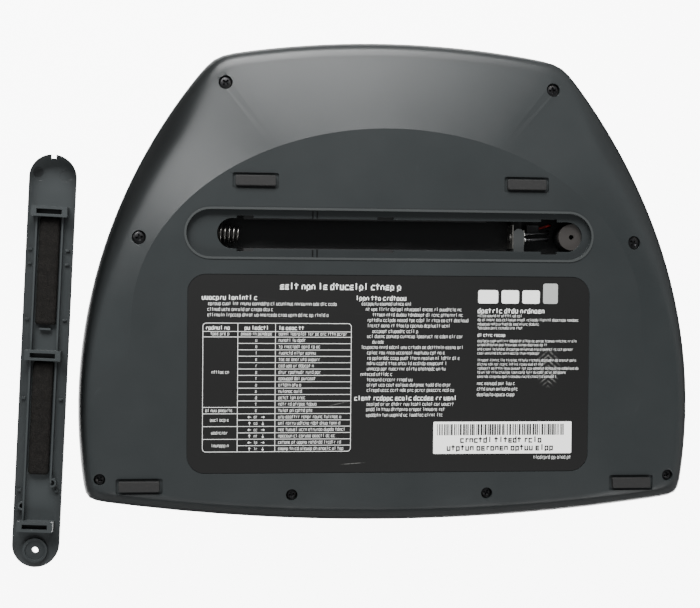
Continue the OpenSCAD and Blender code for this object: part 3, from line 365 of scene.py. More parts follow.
def displayGlass(name, colour):
    f = Finish(name, colour, 0.3)
    tint = f.noise(40, 2, 0.5)
    grid = f.node("ShaderNodeTexBrick", {"offset": 0.0}, {
        "Vector": f.place, "Scale": 1 / (1.1 * mm), "Mortar Size": 0.06, "Mortar Smooth": 0.3,
        "Brick Width": 0.5, "Row Height": 0.5}, "Fac")
    f.paint(grid * 0.3 + tint * 0.4, colour, tone(colour, 0.86))
    f.feed("Roughness", 0.24 + f.noise(8) * 0.08)
    return f


def clearSheet(name, colour, alpha, roughness):
    f = Finish(name, colour, roughness, Alpha=alpha, Coat_Weight=0.4)
    f.feed("Roughness", roughness + f.noise(9, 4, 0.7).band(0.5, 0.8) * 0.05)
    f.relief(f.noise(25), 0.01)
    return f


finishes = {
    "housing": housingPlastic("housing_plastic", (0.0125, 0.015, 0.0156), 0.38),
    "cover": coverPlastic("cover_plastic", (0.0225, 0.0262, 0.0272), 0.36),
    # The tray's nearly black tone is painted shade; the divider's and the boss's paler tones are painted
    # light
    "tray": shadedTrayPlastic("tray_painted_shade", (0.0045, 0.0047, 0.005), (0.017, 0.019, 0.0195),
                        (0.021, 0.0185, 0.017)),
    "key": mouldedPlastic("key_plastic", (0.018, 0.020, 0.0215), 0.5, 0.5, 0.02, drift=0.1, marks=0.15),
    "bezel": mouldedPlastic("bezel_plastic", (0.009, 0.0095, 0.01), 0.22, 0.8, 0.006, drift=0.1, marks=0.1),
    "black_plastic": mouldedPlastic("plug_plastic", (0.02, 0.02, 0.021), 0.42, 0.4, 0.01),
    "label_black": printedSheet("label_coat", (0.0024, 0.0024, 0.0023), 0.5),
    "label_ink": ink("label_ink", (0.8, 0.81, 0.79), (0.3, 0.3, 0.3)),
    "pale_ink": ink("pale_ink", (0.3, 0.31, 0.3), (0.1, 0.1, 0.1)),
    "sticker_white": ink("sticker_paper", (0.86, 0.86, 0.84), (0.74, 0.73, 0.7)),
    "sticker_ink": ink("sticker_ink", (0.004, 0.004, 0.004), (0.02, 0.02, 0.02)),
    "foot_rubber": rubber("foot_rubber", (0.011, 0.011, 0.011)),
    "screw_black": metal("screw_black", (0.05, 0.05, 0.052), 0.3, (1, 1, 1), (0.3, 0.28, 0.26), 0.5),
    "spring_steel": metal("spring_steel", (0.24, 0.232, 0.22), 0.28),
    "nickel": metal("contact_nickel", (0.72, 0.7, 0.65), 0.2, (1, 6, 1)),
    "solder": metal("solder_tin", (0.7, 0.7, 0.69), 0.28),
    "screw_steel": metal("screw_steel", (0.6, 0.6, 0.6), 0.25),
    "frame_steel": metal("display_frame_steel", (0.55, 0.55, 0.55), 0.34, (1, 8, 1)),
    "socket_metal": metal("socket_metal", (0.66, 0.66, 0.67), 0.26, (4, 1, 1)),
    "gold": metal("contact_gold", (0.83, 0.58, 0.2), 0.25),
    "red_cover": mouldedPlastic("red_insulation", (0.33, 0.012, 0.01), 0.32, 0.8, 0.01, Coat_Weight=0.2),
    "black_cover": mouldedPlastic("black_insulation", (0.012, 0.012, 0.013), 0.3, 0.8, 0.01),
    "board": circuitBoard("board_lacquer", (0.012, 0.085, 0.035)),
    "display": displayGlass("display_glass", (0.19, 0.235, 0.16)),
    "window": clearSheet("display_window", (0.5, 0.55, 0.53), 0.16, 0.04),
    "ribbon": mouldedPlastic("ribbon_film", (0.5, 0.33, 0.1), 0.3, 1.2, 0.01),
    "guide": mouldedPlastic("guide_plastic", (0.05, 0.052, 0.056), 0.5),
    "dome": rubber("dome_silicone", (0.5, 0.5, 0.47)),
    "infrared": clearSheet("infrared_window", (0.016, 0.004, 0.006), 1.0, 0.08),
    "foam": openFoam("foam_tape", (0.0052, 0.0047, 0.0042)),
    "legend": ink("legend_ink", (0.66, 0.67, 0.66), (0.3, 0.3, 0.3)),
}
print("finishes written:", len(finishes))

nodeFinish = {
    "lower_housing": "housing", "upper_housing": "housing", "battery_tray": "tray",
    "spring_plate": "nickel", "positive_contact": "nickel", "battery_plug": "black_plastic",
    "reference_label": "label_black", "serial_label": "sticker_white", "main_board": "board",
    "board_screws": "screw_steel", "lcd_frame": "frame_steel", "lcd_panel": "display",
    "lcd_window": "window", "lcd_bezel": "bezel", "lcd_cable": "ribbon", "guide_plate": "guide",
    "dome_sheet": "dome", "key_board": "board", "coin_holder": "black_plastic",
    "coin_cell": "screw_steel", "usb_b_socket": "socket_metal", "usb_a_socket": "socket_metal",
    "dc_jack": "black_plastic", "ir_window": "infrared", "battery_cover": "cover",
    "battery_spring": "spring_steel", "red_wire": "red_cover", "black_wires": "black_cover",
    "case_screws": "screw_black", "rear_feet": "foot_rubber", "front_feet": "foot_rubber",
    "foam_strips": "foam",
}
# Width in millimetres of the small moulded radius on a solid's edges
edgeRadius = {
    "lower_housing": 0.3, "upper_housing": 0.35, "battery_cover": 0.2, "battery_tray": 0.2,
    "lcd_bezel": 0.3, "positive_contact": 0.1, "spring_plate": 0.1, "battery_plug": 0.2,
    "usb_b_socket": 0.15, "usb_a_socket": 0.15, "dc_jack": 0.2, "ir_window": 0.2,
}
keyRadius = 0.45


# The oval crease is a crisp edge between the flat underside and the plateau that rises behind it
creaseEdge = {"fromY": -48, "flatZ": 1.6, "near": 0.01, "least": 0.3, "flatNormal": -0.9999995}
sharpFrom = 34  # degrees


# Marks a solid's edges as sharp; faces meet in the mesh by the places of their corners
def markEdges(mesh, corners, crease):
    places = [tuple(round(axis * 1e6) for axis in v.co) for v in mesh.vertices]
    c = creaseEdge
    front = devicePlace(0, c["fromY"], 0).y
    beside = {}
    for face in mesh.polygons:
        for a, b in face.edge_keys:
            beside.setdefault(frozenset((places[a], places[b])), []).append(face.normal)
    for edge in mesh.edges:
        pair = beside[frozenset(places[i] for i in edge.vertices)]
        if len(pair) != 2:
            continue
        bend = math.degrees(pair[0].angle(pair[1], 0))
        if bend > sharpFrom:
            edge.use_edge_sharp = corners
        elif crease and bend > c["least"]:
            ends = [mesh.vertices[i].co for i in edge.vertices]
            onFlat = all(abs(v.z / mm - c["flatZ"]) < c["near"] and v.y > front for v in ends)
            edge.use_edge_sharp = onFlat and (pair[0].z < c["flatNormal"]) != (pair[1].z < c["flatNormal"])


# Shows a CAD solid with its finish, its curved faces smooth and its edges slightly rounded
def dressSolid(name, finishName, radius):
    solid = nodes[name]
    mesh = solid.data
    mesh.materials.clear()
    mesh.materials.append(finishes[finishName].material)
    if "custom_normal" in mesh.attributes:
        mesh.attributes.remove(mesh.attributes["custom_normal"])
    mesh.shade_smooth()
    markEdges(mesh, not radius, name == "lower_housing")
    weld = solid.modifiers.new("weld", "WELD")
    weld.merge_threshold = 0.002 * mm
    if not radius:
        return
    bevel = solid.modifiers.new("edges", "BEVEL")
    bevel.width = radius * mm
    bevel.segments = 2
    bevel.limit_method = "ANGLE"
    bevel.angle_limit = math.radians(sharpFrom)
    bevel.miter_outer = "MITER_ARC"
    bevel.face_strength_mode = "FSTR_ALL"
    even = solid.modifiers.new("even", "WEIGHTED_NORMAL")
    even.keep_sharp = True
    even.use_face_influence = True


for name in nodes:
    if name in nodeFinish:
        dressSolid(name, nodeFinish[name], edgeRadius.get(name, 0))
    else:
        dressSolid(name, "key", keyRadius)
print("solids dressed")


# Builds a piece in its space; faces that meet below smooth degrees are shaded as one
def newPiece(name, body, finishName, build, space=deviceSpace, replaced=(), smooth=None):
    shape = bmesh.new()
    build(shape)
    bmesh.ops.transform(shape, matrix=space, verts=shape.verts)
    bmesh.ops.recalc_face_normals(shape, faces=shape.faces)
    mesh = bpy.data.meshes.new(name)
    shape.to_mesh(mesh)
    shape.free()
    mesh.materials.append(finishes[finishName].material)
    if smooth:
        mesh.shade_smooth()
        mesh.set_sharp_from_angle(angle=math.radians(smooth))
    piece = bpy.data.objects.new(name, mesh)
    scene.collection.objects.link(piece)
    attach(piece, body)
    if replaced:
        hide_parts(*replaced)
    return piece


# A closed skin through rings of equal length
def addLoft(shape, rings):
    made = [[shape.verts.new(p) for p in ring] for ring in rings]
    count = len(made[0])
    for low, high in zip(made, made[1:]):
        for i in range(count):
            j = (i + 1) % count
            shape.faces.new((low[i], low[j], high[j], high[i]))
    shape.faces.new(list(reversed(made[0])))
    shape.faces.new(made[-1])


# Corners in order round a rectangle
def rectangle(x0, x1, y0, y1):
    return [(x0, y0), (x1, y0), (x1, y1), (x0, y1)]


def addBar(shape, x0, x1, y0, y1, z0, z1):
    addLoft(shape, [[(x, y, z) for x, y in rectangle(x0, x1, y0, y1)] for z in (z0, z1)])


# Points round a rectangle with rounded corners
def roundedOutline(w, d, r, cx=0.0, cy=0.0):
    steps = 5
    points = []
    for quarter, (sx, sy) in enumerate(((1, 1), (-1, 1), (-1, -1), (1, -1))):
        x, y = cx + sx * (w / 2 - r), cy + sy * (d / 2 - r)
        for i in range(steps + 1):
            a = math.pi / 2 * (quarter + i / steps)
            points.append((x + r * math.cos(a), y + r * math.sin(a)))
    return points


# A pad with rounded corners; levels are (inset, height)
def addPad(shape, w, d, r, levels, cx, cy):
    rings = []
    for inset, z in levels:
        outline = roundedOutline(w - 2 * inset, d - 2 * inset, max(0.05, r - inset), cx, cy)
        rings.append([(x, y, z) for x, y in outline])
    addLoft(shape, rings)


# A solid of revolution about the vertical through (x, y); profile is (radius, height)
def addTurned(shape, profile, x, y):
    steps = 32
    angles = [2 * math.pi * i / steps for i in range(steps)]
    addLoft(shape, [[(x + r * math.cos(a), y + r * math.sin(a), z) for a in angles] for r, z in profile])


# A smooth curve through every point of a route
def smoothPath(points):
    steps = 6
    points = [Vector(p) for p in points]
    ends = [2 * points[0] - points[1]] + points + [2 * points[-1] - points[-2]]
    path = []
    for a, b, c, d in zip(ends, ends[1:], ends[2:], ends[3:]):
        for i in range(steps):
            t = i / steps
            path.append(0.5 * (2 * b + (c - a) * t + (2 * a - 5 * b + 4 * c - d) * t * t
                               + (3 * b - a - 3 * c + d) * t ** 3))
    return path + [points[-1]]


# A round tube along a path
def addTube(shape, path, radius, sides=12):
    path = [Vector(p) for p in path]
    rings = []
    side = None
    for i, point in enumerate(path):
        along = (path[min(i + 1, len(path) - 1)] - path[max(i - 1, 0)]).normalized()
        side = (along.orthogonal() if side is None else side - along * side.dot(along)).normalized()
        other = along.cross(side)
        rings.append([point + radius * (math.cos(2 * math.pi * k / sides) * side
                                        + math.sin(2 * math.pi * k / sides) * other)
                      for k in range(sides)])
    addLoft(shape, rings)


labelPlace = {"centreY": -48, "face": 1.7, "ink": 0.03}


# A bar of ink; u runs to the reader's right and v up, from the label's middle
def addInk(shape, u0, u1, v0, v1, face=labelPlace["face"], thickness=labelPlace["ink"]):
    y = labelPlace["centreY"]
    addBar(shape, -u1, -u0, y + v0, y + v1, face - thickness, face)


# Centre lines of made-up letters in a unit box: (left, bottom, right, top)
letterLines = [
    [(0, 0, 0, 1), (0, 1, 1, 1), (1, 0, 1, 1)],
    [(0, 0, 0, 1), (0, 1, 1, 1), (0, 0, 1, 0)],
    [(0, 0, 0, 1), (0, 1, 1, 1), (0, 0, 1, 0), (1, 0, 1, 1)],
    [(0.5, 0, 0.5, 1.4)],
    [(0.3, 0, 0.3, 1), (0.3, 1, 1, 1)],
    [(0, -0.4, 0, 1), (0, 1, 1, 1), (1, 0, 1, 1), (0, 0, 1, 0)],
    [(0, 1, 1, 1), (0, 0.5, 0.9, 0.5), (0, 0, 1, 0), (0, 0, 0, 1)],
    [(0, 0, 0, 1), (0, 0, 1, 0), (1, 0, 1, 1)],
    [(1, 0, 1, 1.4), (0, 0, 1, 0), (0, 0, 0, 1), (0, 1, 1, 1)],
    [(0.4, 0, 0.4, 1.3), (0, 1, 0.9, 1)],
]
# Width and stroke of each weight, gap and space are shares of the letters' height; a word starts with
# spare of a letter's width left, and may end over millimetres past the line
letterShape = {"plain": (0.6, 0.135), "bold": (0.7, 0.26), "heavy": (0.72, 0.38), "gap": 0.216,
               "space": 0.55, "perWord": (2, 8), "spare": 0.6, "over": 0.3}
draw = random.Random(5)


# A line of greeked words, from made-up letters
def addWords(shape, left, right, base, height, weight, put=addInk):
    k = letterShape
    width, stroke = (height * share for share in k[weight])
    u = left
    while u < right - width * k["spare"]:
        for _ in range(draw.randint(*k["perWord"])):
            if u + width > right + k["over"]:
                break
            for u0, v0, u1, v1 in draw.choice(letterLines):
                put(shape, u + u0 * width - stroke / 2, u + u1 * width + stroke / 2,
                    base + v0 * height - stroke / 2 * (v0 == v1), base + v1 * height + stroke / 2)
            u += width + stroke + height * k["gap"]
        u += height * k["space"]


tablePlace = {"left": -96.3, "right": -20.6, "top": 26.0, "bottom": -39.75, "headEnd": 21.65,
              "firstEnd": 18.88, "row": 3.257, "rows": 19, "columns": (-78.6, -59.5), "line": 0.22,
              "corner": 1.8}
rowEnds = [tablePlace["firstEnd"] - tablePlace["row"] * i for i in range(tablePlace["rows"])]
# Lines that cross the first column, from the head down, and its words: first and last row, half width
fullLines = (0, 1, 12, 13, 15, 17)
columnWords = ((0, 0, 4.8), (1, 11, 4.2), (12, 12, 7.2), (13, 14, 4.8), (15, 16, 4.2), (17, 18, 4.2))
sentenceEnds = (-22.9, -43.0, -37.1, -38.6, -35.9, -40.2, -36.5, -38.4, -46.3, -45.3, -44.5, -37.4,
                -39.8, -25.1, -25.8, -22.6, -29.2, -25.6, -23.9)


def buildTable(shape):
    t = tablePlace
    w = t["line"]
    width, height = t["right"] - t["left"], t["top"] - t["bottom"]
    outer = roundedOutline(width, height, t["corner"])
    inner = roundedOutline(width - 2 * w, height - 2 * w, t["corner"] - w)
    cx = -(t["left"] + t["right"]) / 2
    cy = labelPlace["centreY"] + (t["top"] + t["bottom"]) / 2
    face = labelPlace["face"]
    low = face - labelPlace["ink"]
    sections = [[(ox + cx, oy + cy, face), (ox + cx, oy + cy, low), (ix + cx, iy + cy, low),
                 (ix + cx, iy + cy, face)] for (ox, oy), (ix, iy) in zip(outer, inner)]
    corners = [[shape.verts.new(p) for p in section] for section in sections]
    for a, b in zip(corners, corners[1:] + corners[:1]):
        for i in range(4):
            j = (i + 1) % 4
            shape.faces.new((a[i], a[j], b[j], b[i]))
    for column in t["columns"]:
        addInk(shape, column - w / 2, column + w / 2, t["bottom"] + w, t["top"] - w)
    for i, end in enumerate([t["headEnd"]] + rowEnds[:-1]):
        start = t["left"] + w if i in fullLines else t["columns"][0]
        addInk(shape, start, t["right"] - w, end - w / 2, end + w / 2)


# Lines of print: left, right, baseline, and x-height and weight where they aren't the usual ones
usualPrint = (1.15, "plain")
leftLines = [(-96.6, -68.7, 37.9, 1.5, "bold"), (-93.5, -27.6, 35.1), (-93.9, -61.1, 32.2),
             (-93.9, -32.2, 29.4)]
middleLines = [
    (-18.3, 7.8, 38.0, 1.5, "bold"), (-15.4, 10.2, 35.4), (-13.2, 36.2, 32.6), (-9.7, 37.0, 29.8),
    (-12.4, 40.3, 27.0), (-12.4, 30.6, 24.2), (-9.7, 13.5, 21.3), (-12.4, 37.8, 18.7),
    (-9.7, -4.1, 15.8), (-15.4, 37.8, 13.1), (-12.4, 28.3, 10.3), (-12.4, 35.7, 7.5),
    (-12.4, 29.6, 4.8), (-12.4, 27.9, 2.0), (-15.7, 0.8, -0.8), (-12.4, 11.2, -3.6),
    (-12.4, 31.2, -6.3), (-12.4, 33.3, -9.0), (-18.7, 33.9, -13.4, 1.5, "bold"),
    (-12.4, 32.6, -16.2), (-12.6, 27.7, -18.9), (-12.6, 26.7, -21.8)]
rightLines = [
    (45.1, 79.8, 31.8, 1.6, "bold"), (45.1, 69.1, 29.7, 0.95), (45.1, 98.5, 27.6, 0.95),
    (45.1, 77.7, 25.4, 0.95), (45.1, 69.1, 23.4, 0.95), (45.1, 60.0, 19.6, 1.05, "bold"),
    (45.1, 97.5, 16.7, 0.9), (45.1, 81.5, 14.7, 0.9), (45.1, 95.4, 12.4, 0.9), (45.1, 78.3, 10.3, 0.9),
    (45.1, 97.3, 6.7, 0.9), (45.1, 79.8, 4.6, 0.9), (45.1, 98.5, 2.5, 0.9), (45.1, 92.3, 0.4, 0.9),
    (45.1, 87.0, -1.8, 0.9), (45.1, 64.8, -5.5), (45.1, 67.5, -8.4), (45.1, 65.6, -11.3),
    (75.2, 95.0, -44.1, 1.2)]
titleLine = (-57.1, 5.1, 43.4, 2.1, "bold")


def buildLines(shape):
    for line in leftLines + middleLines + rightLines + [titleLine]:
        addWords(shape, *line, *usualPrint[len(line) - 3:])


# A small arrow from a stem and a stepped head; each bar has its start, its end and its half width
arrowBars = ((-0.9, 0.9, 0.1), (0.1, 0.45, 0.5), (0.45, 0.8, 0.3))


def addArrow(shape, u, v, side, upright):
    for start, end, half in arrowBars:
        low, high = sorted((side * start, side * end))
        if upright:
            addInk(shape, u - half, u + half, v - high, v - low)
        else:
            addInk(shape, u + low, u + high, v - half, v + half)


# Words over each column, then a sentence a row; the second column has a word, letters or two arrows
tableText = {"headBase": 22.7, "headHeight": 1.25, "headIn": 1.6, "headLong": 12.8, "headHalf": 6,
             "height": 1.1, "rise": 0.95, "sentenceIn": 1.8, "wordHalf": 7.8, "letterHalf": 0.5,
             "firstArrowRow": 13, "joinHalf": 1.1, "joinHeight": 1.0, "arrowApart": 3.4, "arrowRise": 0.55}


def buildTableWords(shape):
    t, w = tablePlace, tableText
    first = (t["left"] + t["columns"][0]) / 2
    second = sum(t["columns"]) / 2
    start = t["columns"][1] + w["sentenceIn"]

    def centred(middle, half, base, height=w["height"]):
        addWords(shape, middle - half, middle + half, base, height, "plain")

    headStart = t["left"] + w["headIn"]
    for left, long in ((headStart, w["headLong"]), (second - w["headHalf"], 2 * w["headHalf"]),
                       (start, w["headLong"])):
        addWords(shape, left, left + long, w["headBase"], w["headHeight"], "bold")
    bases = [end + w["rise"] for end in rowEnds]
    for i, (base, end) in enumerate(zip(bases, sentenceEnds)):
        addWords(shape, start, end, base, w["height"], "plain")
        if i == 0:
            centred(second, w["wordHalf"], base)
        elif i < w["firstArrowRow"]:
            centred(second, w["letterHalf"], base)
        else:
            centred(second, w["joinHalf"], base, w["joinHeight"])
            for side in (-1, 1):
                addArrow(shape, second + side * w["arrowApart"], base + w["arrowRise"], side, i % 2 == 0)
    for top, bottom, half in columnWords:
        centred(first, half, (bases[top] + bases[bottom]) / 2)


# A plain emblem: three pale blocks with rounded corners, and a taller one
emblem = {"base": 36.7, "corner": 1.1, "tall": (79.4, 87.2, 10.5),
          "blocks": ((45.1, 55.6, 6.9), (57.4, 66.6, 6.9), (68.4, 77.6, 6.9))}


def addBlock(shape, left, right, height):
    face = labelPlace["face"]
    addPad(shape, right - left, height, emblem["corner"], [(0, face - labelPlace["ink"]), (0, face)],
           -(left + right) / 2, labelPlace["centreY"] + emblem["base"] + height / 2)


def buildPlainEmblem(shape):
    for block in emblem["blocks"]:
        addBlock(shape, *block)


def buildPaleEmblem(shape):
    addBlock(shape, *emblem["tall"])


for name, inkName, build in (
        ("label_table_lines", "label_ink", buildTable),
        ("label_table_words", "label_ink", buildTableWords),
        ("label_text_lines", "label_ink", buildLines),
        ("label_emblem_white", "label_ink", buildPlainEmblem),
        ("label_emblem_grey", "pale_ink", buildPaleEmblem)):
    newPiece(name, "device", inkName, build)

stickerPlace = {"face": 1.6, "ink": 0.02, "codeLeft": 24.2, "codeRight": 91.8, "codeLow": -31.7,
                "codeTop": -25.9, "bars": (0.4, 0.7, 1.0), "gaps": (0.28, 0.28, 0.5, 0.7), "leastBar": 0.2,
                "lines": ((36.7, 78.8, -35.4), (29.7, 87.2, -39.5)), "height": 1.85}


def addStickerInk(shape, u0, u1, v0, v1):
    addInk(shape, u0, u1, v0, v1, stickerPlace["face"], stickerPlace["ink"])


def buildBarcode(shape):
    s = stickerPlace
    u = s["codeLeft"]
    while u < s["codeRight"] - s["leastBar"]:
        bar = draw.choice(s["bars"])
        addStickerInk(shape, u, min(u + bar, s["codeRight"]), s["codeLow"], s["codeTop"])
        u += bar + draw.choice(s["gaps"])
    for left, right, base in s["lines"]:
        addWords(shape, left, right, base, s["height"], "heavy", addStickerInk)


newPiece("sticker_barcode", "device", "sticker_ink", buildBarcode)
print("label printed")


# Place and head radius of the screws on the +X side, and the shape they share
screwSites = [(85.6, 100.9, 3.25), (128.6, 21, 3.25), (147.5, -101.3, 2.6), (50.65, -109.9, 2.6)]
screwShape = {"within": 3.6, "headT": 1.8, "dome": 0.55, "bulge": 0.9, "fullBulge": 0.684, "shank": 1.45,
              "length": 12, "taper": 1, "tip": 0.5, "slotLong": 0.62, "slotHalf": 0.17, "slotDeep": 1.25,
              "turn": 17, "turnStep": 41, "sideTurn": 23,
              "domeSteps": (0.02, 0.25, 0.5, 0.7, 0.85, 0.95, 1.0)}


# Each screw's place, its head's radius, the height of its face and the turn it stopped at
def caseScrews():
    s = screwShape
    corners = [v.co for v in nodes["case_screws"].data.vertices]
    for i, (x, y, r) in enumerate(screwSites):
        for side in (-1, 1):
            middle = devicePlace(side * x, y, 0)
            face = min(v.z for v in corners if (v - middle).xy.length < s["within"] * mm)
            turn = math.radians(s["turn"] + s["turnStep"] * i + s["sideTurn"] * side)
            yield side * x, y, r, face / mm, turn


def buildScrewBodies(shape):
    s = screwShape
    for x, y, r, z, turn in caseScrews():
        seat = z + s["headT"]
        dome = [(r * k, z + s["dome"] * (1 - math.sqrt(1 - k * k * s["bulge"])) / s["fullBulge"])
                for k in s["domeSteps"]]
        shank = [(r, seat), (s["shank"], seat), (s["shank"], seat + s["length"] - s["taper"]),
                 (s["tip"], seat + s["length"])]
        addTurned(shape, dome + shank, x, y)


# The cross-shaped driver recess, cut into each head
def buildScrewCutter(shape):
    s = screwShape
    for x, y, r, z, turn in caseScrews():
        for quarter in (0, math.pi / 2):
            c, n = math.cos(turn + quarter), math.sin(turn + quarter)
            rings = []
            for grow, height in ((1.15, z - 0.5), (1.0, z), (0.45, z + s["slotDeep"])):
                a, b = r * s["slotLong"] * grow, r * s["slotHalf"] * (0.5 + 0.5 * grow)
                rings.append([(x + p * c - q * n, y + p * n + q * c, height)
                              for p, q in rectangle(-a, a, -b, b)])
            addLoft(shape, rings)


# Takes the cutter's shape out of a piece, and removes the cutter
def cutPiece(piece, cutter):
    trim = piece.modifiers.new("cut", "BOOLEAN")
    trim.operation = "DIFFERENCE"
    trim.solver = "EXACT"
    trim.use_self = True
    trim.object = cutter
    bpy.context.view_layer.update()
    done = bpy.data.meshes.new_from_object(piece.evaluated_get(bpy.context.evaluated_depsgraph_get()))
    piece.modifiers.clear()
    piece.data = done
    bpy.data.objects.remove(cutter)
    done.shade_smooth()
    done.set_sharp_from_angle(angle=math.radians(30))


screws = newPiece("case_screws_turned", "device", "screw_black", buildScrewBodies,
                  replaced=("case_screws",))
cutter = newPiece("screw_recess_cutter", "device", "screw_black", buildScrewCutter)
cutPiece(screws, cutter)

footSize = {"length": 20.4, "width": 5.2, "corner": 0.8, "top": 2.6,
            "round": ((0.36, 0.0), (0.1, 0.09), (0, 0.34)), "rear": (70, 50.3), "front": (127.7, -105)}


def buildFeet(x, y):
    def build(shape):
        f = footSize
        for side in (-1, 1):
            addPad(shape, f["length"], f["width"], f["corner"], [*f["round"], (0, f["top"])], side * x, y)
    return build


for end in ("rear", "front"):
    newPiece(end + "_feet_moulded", "device", "foot_rubber", buildFeet(*footSize[end]),
             replaced=(end + "_feet",), smooth=14)
print("fasteners and feet placed")


springShape = {"startX": 89.3, "reach": 11, "turns": 5, "turnSteps": 26, "baseR": 5.4, "tipR": 3.6,
               "wire": 0.45, "sides": 10, "axisY": 23.6, "axisZ": 12.4}


def buildSpring(shape):
    s = springShape
    steps = s["turnSteps"] * s["turns"]
    path = []
    for i in range(steps + 1):
        t = i / steps
        a = 2 * math.pi * s["turns"] * t
        r = s["baseR"] + (s["tipR"] - s["baseR"]) * t
        path.append((s["startX"] - s["reach"] * t, s["axisY"] + r * math.cos(a),
                     s["axisZ"] + r * math.sin(a)))
    addTube(shape, path, s["wire"], s["sides"])


newPiece("battery_spring_wound", "device", "spring_steel", buildSpring,
         replaced=("battery_spring",), smooth=60)

# Routes of the three short wires, from the bay to the main board
wireRadius = 0.65
redRoute = [(-79.65, 28.2, 16), (-81.2, 28.6, 15.4), (-82.6, 29, 15.6), (-85.6, 30, 16), (-87, 30.2, 18),
            (-87, 30.2, 21.1), (-86, 32.6, 24.4), (-84, 36.2, 25.4), (-76, 52, 25.4), (-73, 55, 23.8),
            (-69, 55, 23.8)]
blackRoutes = [
    [(-70.45, 25, 10.2), (-76.45, 25.5, 10.6), (-82.45, 25.8, 12.2), (-85.2, 26.4, 14.4), (-86, 26.6, 17),
     (-86, 26.6, 21.1), (-85, 29, 24.4), (-83, 32.6, 25.4), (-76, 49, 25.4), (-73, 52, 23.8),
     (-69, 52, 23.8)],
    [(-70.45, 22, 9.2), (-76.45, 22.2, 9.4), (-82.45, 22.6, 11.2), (-84.6, 22.8, 13.4), (-85.2, 22.8, 17),
     (-85.2, 22.8, 21.1), (-84.2, 25.2, 24.4), (-82.2, 28.8, 25.4), (-76, 46, 25.4), (-73, 49, 23.8),
     (-69, 49, 23.8)],
]
newPiece("red_wire_laid", "device", "red_cover",
         lambda shape: addTube(shape, smoothPath(redRoute), wireRadius), replaced=("red_wire",), smooth=60)


def buildBlackWires(shape):
    for route in blackRoutes:
        addTube(shape, smoothPath(route), wireRadius)


newPiece("black_wires_laid", "device", "black_cover", buildBlackWires,
         replaced=("black_wires",), smooth=60)


# Rounded drops of solder where the black wires meet their tab
solderShape = {"radii": (1.0, 1.1), "depth": 0.72, "levels": 8, "sides": 14}


def buildSolder(shape):
    s = solderShape
    around = [2 * math.pi * i / s["sides"] for i in range(s["sides"])]
    for route, r in zip(blackRoutes, s["radii"]):
        x, y, z = route[0]
        rings = []
        for k in range(1, s["levels"]):
            a = math.pi * k / s["levels"]
            rings.append([(x - r * s["depth"] * (1 - math.cos(a)), y + r * math.sin(a) * math.cos(b),
                           z + r * math.sin(a) * math.sin(b)) for b in around])
        addLoft(shape, rings)


newPiece("solder_drops", "device", "solder", buildSolder, smooth=70)
print("battery bay fitted")


# Waves are (depth, rate, start) along the strip, of its face and of its sides
foamSize = {"halfW": 5.1, "low": 2.6, "high": 6.0, "spans": ((31.8, 85.6), (104.0, 161.0)), "round": 0.9,
            "row": 1.1, "acrossHalf": 12, "crown": 0.42, "faceWaves": ((0.16, 0.9, 0), (0.1, 2.3, 1)),
            "sideWave": (0.1, 1.7), "taken": 0.8, "sideIn": 0.12, "faceIn": 0.22, "arch": (0.12, 3)}


# Each strip is a crowned pad whose faces sag a little between the cells' marks
def buildFoam(shape):
    f = foamSize
    for s0, s1 in f["spans"]:
        y0, y1 = coverPlace["halfLength"] - s1, coverPlace["halfLength"] - s0
        rows = int((y1 - y0) / f["row"])
        rings = []
        for i in range(rows + 1):
            y = y0 + (y1 - y0) * i / rows
            end = min(y - y0, y1 - y)
            pull = f["round"] * (1 - math.sqrt(max(0, 1 - (1 - min(1, end / f["round"])) ** 2)))
            wave = sum(depth * math.sin(y * rate + start) for depth, rate, start in f["faceWaves"])
            depth, rate = f["sideWave"]
            half = f["halfW"] - pull * f["taken"] - f["sideIn"] + depth * math.sin(y * rate)
            low = f["low"] + pull * f["taken"] + f["faceIn"] + wave * 0.6
            ring = []
            for k in range(2 * f["acrossHalf"] + 1):
                x = -1 + k / f["acrossHalf"]
                rise = (f["high"] - low) * f["crown"] * abs(x) ** 5
                ring.append((half * x, y, low + rise + f["arch"][0] * math.cos(f["arch"][1] * x)))
            for k in range(2 * f["acrossHalf"] + 1):
                ring.append((half * (1 - k / f["acrossHalf"]), y, f["high"]))
            rings.append(ring)
        addLoft(shape, rings)


foam = newPiece("foam_strips_soft", "cover", "foam", buildFoam, coverSpace, ("foam_strips",), 60)
print("foam laid")


keyboard = {"pitch": 18.7, "units": 15, "gap": 0.8, "taper": 2.4, "dish": 0.6, "dished": 1.3, "bar": 2.6,
            "functionDepth": 10.4, "top": 4.0, "functionTop": 2.0}
# Widths of the keys in each row from the front, in key pitches; the last row holds the function keys
keyRows = [
    [1.5, 1.25, 1.25, 6, 1, 1, 1, 1, 1],
    [2.25] + [1] * 10 + [2.75],
    [1.75] + [1] * 11 + [2.25],
    [1.5] + [1] * 12 + [1.5],
    [1] * 13 + [2],
    [1] * 15,
]
functionRow = 5
